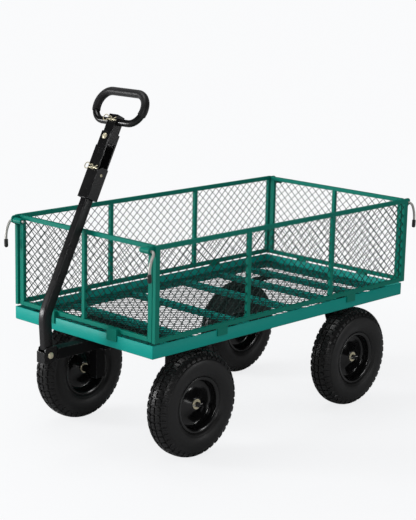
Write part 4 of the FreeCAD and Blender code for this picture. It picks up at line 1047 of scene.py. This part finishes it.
def makeHandleHardware():
    h = hardwareSet
    low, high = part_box("handle_bolt")
    bm = bmesh.new()
    domedHead(bm, (high.x - h["headSeat"], pivot.y, pivot.z), (1, 0, 0), h["headRadius"], h["headHeight"])
    shank(bm, (low.x, pivot.y, pivot.z), (1, 0, 0), high.x - low.x - h["headSeat"])
    hexNut(bm, (low.x, pivot.y, pivot.z), (1, 0, 0), h["nutRadius"], h["nutHeight"])
    place(meshObject("pivotBolt", bm, zincPlate, 40.0), "handle_bolt")
    bm = bmesh.new()
    front, back = (upHandle(0, depth, h["stemBoltAt"])
                   for depth in (h["hitchDepth"], -h["hitchDepth"] - h["nutHeight"]))
    domedHead(bm, front, frontWay, h["stemBoltHead"], h["stemHeadHeight"])
    shank(bm, front, -frontWay, h["stemShank"])
    hexNut(bm, back, frontWay, h["nutRadius"], h["nutHeight"] - 0.0001)
    place(meshObject("stemBolt", bm, zincPlate, 40.0), "stem_bolt")
    for name, node, along, depth, radius in (("hitchClip", "hitch_pins", 0.450, 0.0195, 0.004),
                                             ("loopClip", "loop_pin", 0.603, 0.015, 0.0035)):
        bm = bmesh.new()
        body, head = 2 * depth + h["pinReach"], radius + h["pinHead"]
        rod = [(0.0, 0.0), (0.0, radius * 0.8), (0.001, radius), (body, radius), (body, head),
               (body + 0.0023, head), (body + 0.0029, head - 0.0008), (body + 0.0029, 0.0)]
        addLathe(bm, rod, upHandle(0, depth + h["pinReach"], along), -frontWay, 20)
        springClip(bm, upHandle(-0.004, depth + 0.005, along))
        if node == "hitch_pins":
            for side in (1, -1):
                domedHead(bm, upHandle(side * h["rivetX"], 0, h["rivetAt"]), (side, 0, 0), h["rivetRadius"],
                          h["rivetHeight"], 16)
        place(meshObject(name, bm, zincPlate, 45.0), node)


def cotterPin(bm, centre):
    # bent wire: eye on one side of the axle, two legs spread on the other
    for side in (1, -1):
        path = [(side * 0.0035 * math.sin(a / 2), -0.0150 - 0.0040 * math.cos(a), 0)
                for a in (math.pi * i / 8 for i in range(9))]
        path += [(side * 0.0009, y, 0) for y in (-0.009, 0.0, 0.009)]
        path += [(side * 0.0026, 0.0135, 0), (side * 0.0062, 0.0165, 0)]
        addTube(bm, [centre + Vector(p) for p in path], hardwareSet["cotterRadius"], 8)


def addWasher(bm, x, y, z):
    h = hardwareSet
    thick, edge, groove, bore = h["washerThickness"], h["washerEdge"], h["grooveRadius"], h["washerBore"]
    profile = barProfile(thick, h["washerRadius"], bore, edge)[:-1] + [
        (thick, groove + edge), (thick - h["grooveDepth"], groove), (thick, groove - edge), (thick, bore)]
    addLathe(bm, profile, (x, y, z), (1, 0, 0), 40, closed=True)


def addWheelHardware(bright, dark, pins, wheel, y, z):
    # a washer on both sides of the hub, the spacer behind it and the cotter pin in front
    h = hardwareSet
    low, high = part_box("bearings_" + wheel)
    side = 1 if high.x > 0 else -1
    hubOut, hubIn = (high.x, low.x) if side > 0 else (-low.x, -high.x)
    thick = h["washerThickness"]
    front = "front" in wheel
    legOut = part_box("knuckle_right")[1].x - h["knuckleLeg"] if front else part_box("rear_struts")[1].x
    for start in (hubOut + h["gap"], hubIn - h["gap"] - thick):
        addWasher(bright, start if side > 0 else -start - thick, y, z)
    length = hubIn - h["gap"] - thick - legOut
    addLathe(dark, barProfile(length, h["spacerRadius"], h["spacerBore"], h["spacerEdge"]),
             (side * legOut, y, z), (side, 0, 0), 32, closed=True)
    cotterPin(pins, Vector((side * (hubOut + h["gap"] + thick + h["cotterOut"]), y, z)))


def addTieBolt(bm, node, side):
    h = hardwareSet
    x, y = side * h["tieBoltX"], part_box(node)[1].y - h["tieBoltIn"]
    low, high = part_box("tie_bar_right")[0].z - h["tieBoltBelow"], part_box("knuckle_right")[1].z
    shank(bm, (x, y, low), (0, 0, 1), high - low)
    domedHead(bm, (x, y, high - 0.0002), (0, 0, 1), h["tieHeadRadius"], h["tieHeadHeight"], 24)
    hexNut(bm, (x, y, low - 0.0001), (0, 0, 1), h["tieNutRadius"], h["nutHeight"])


def makeAxleHardware():
    for node, axleNode, wheels, side in (
            ("knuckle_hardware_right", "stub_axle_right", ["front_right"], 1),
            ("knuckle_hardware_left", "stub_axle_left", ["front_left"], -1),
            ("rear_axle_hardware", "rear_axles", ["rear_right", "rear_left"], 0)):
        axle = centreOf(axleNode)
        bright, dark, pins = bmesh.new(), bmesh.new(), bmesh.new()
        for wheel in wheels:
            addWheelHardware(bright, dark, pins, wheel, axle.y, axle.z)
        if side:
            addTieBolt(dark, node, side)
        place(meshObject("washers_" + node, bright, zincPlate, 40.0), node)
        place(meshObject("spacers_" + node, dark, darkSteel, 40.0), node, replaced=False)
        place(meshObject("cotters_" + node, pins, pinSteel, 60.0), node, replaced=False)
        cleanedCopy("axle_" + axleNode, axleNode, blackPaint, 0.0012)


makeHandleHardware()
makeAxleHardware()
print("hardware ready")


# ---- the remaining steel parts keep their CAD shape with softened edges

softened = {
    "handle_shoe": ("shoeEars", blackPaint, 0.0012), "hitch_channel": ("hitchPlates", blackPaint, 0.0012),
    "stem": ("loopStem", blackPaint, 0.0028), "tongue_tube": ("tongueBar", dullPaint, 0.0022),
    "steering_plate": ("steeringPlate", dullPaint, 0.0010),
    "steering_mount": ("mountPlate", dullPaint, 0.0010),
    "front_bolster": ("bolsterTube", dullPaint, 0.0020), "rear_struts": ("rearStruts", dullPaint, 0.0010),
    "knuckle_right": ("knuckleRight", dullPaint, 0.0010), "knuckle_left": ("knuckleLeft", dullPaint, 0.0010),
    "tie_bar_right": ("tieBarRight", dullPaint, 0.0008), "tie_bar_left": ("tieBarLeft", dullPaint, 0.0008),
    "cross_members": ("crossTubes", greenPaint, 0.0010),
}
for node, (name, material, edgeWidth) in softened.items():
    cleanedCopy(name, node, material, edgeWidth)
print("handle and steel parts ready")

# every CAD node that still shows gets its finish
finishOfSlot = {"green_paint": greenPaint, "black_paint": blackPaint, "mesh": wirePaint, "rim": rimPaint,
                "tyre": tyreRubber, "zinc": zincPlate, "vinyl": dippedVinyl, "foam": gripFoam}
blackened = {"kingpins", "steering_pin", "steering_plate_bolts", "frame_bolts"}
for node, obj in nodes.items():
    if not obj.hide_render:
        for slot in obj.material_slots:
            slot.material = darkSteel if node in blackened else finishOfSlot[slotOfNode[node]]

print("finished")
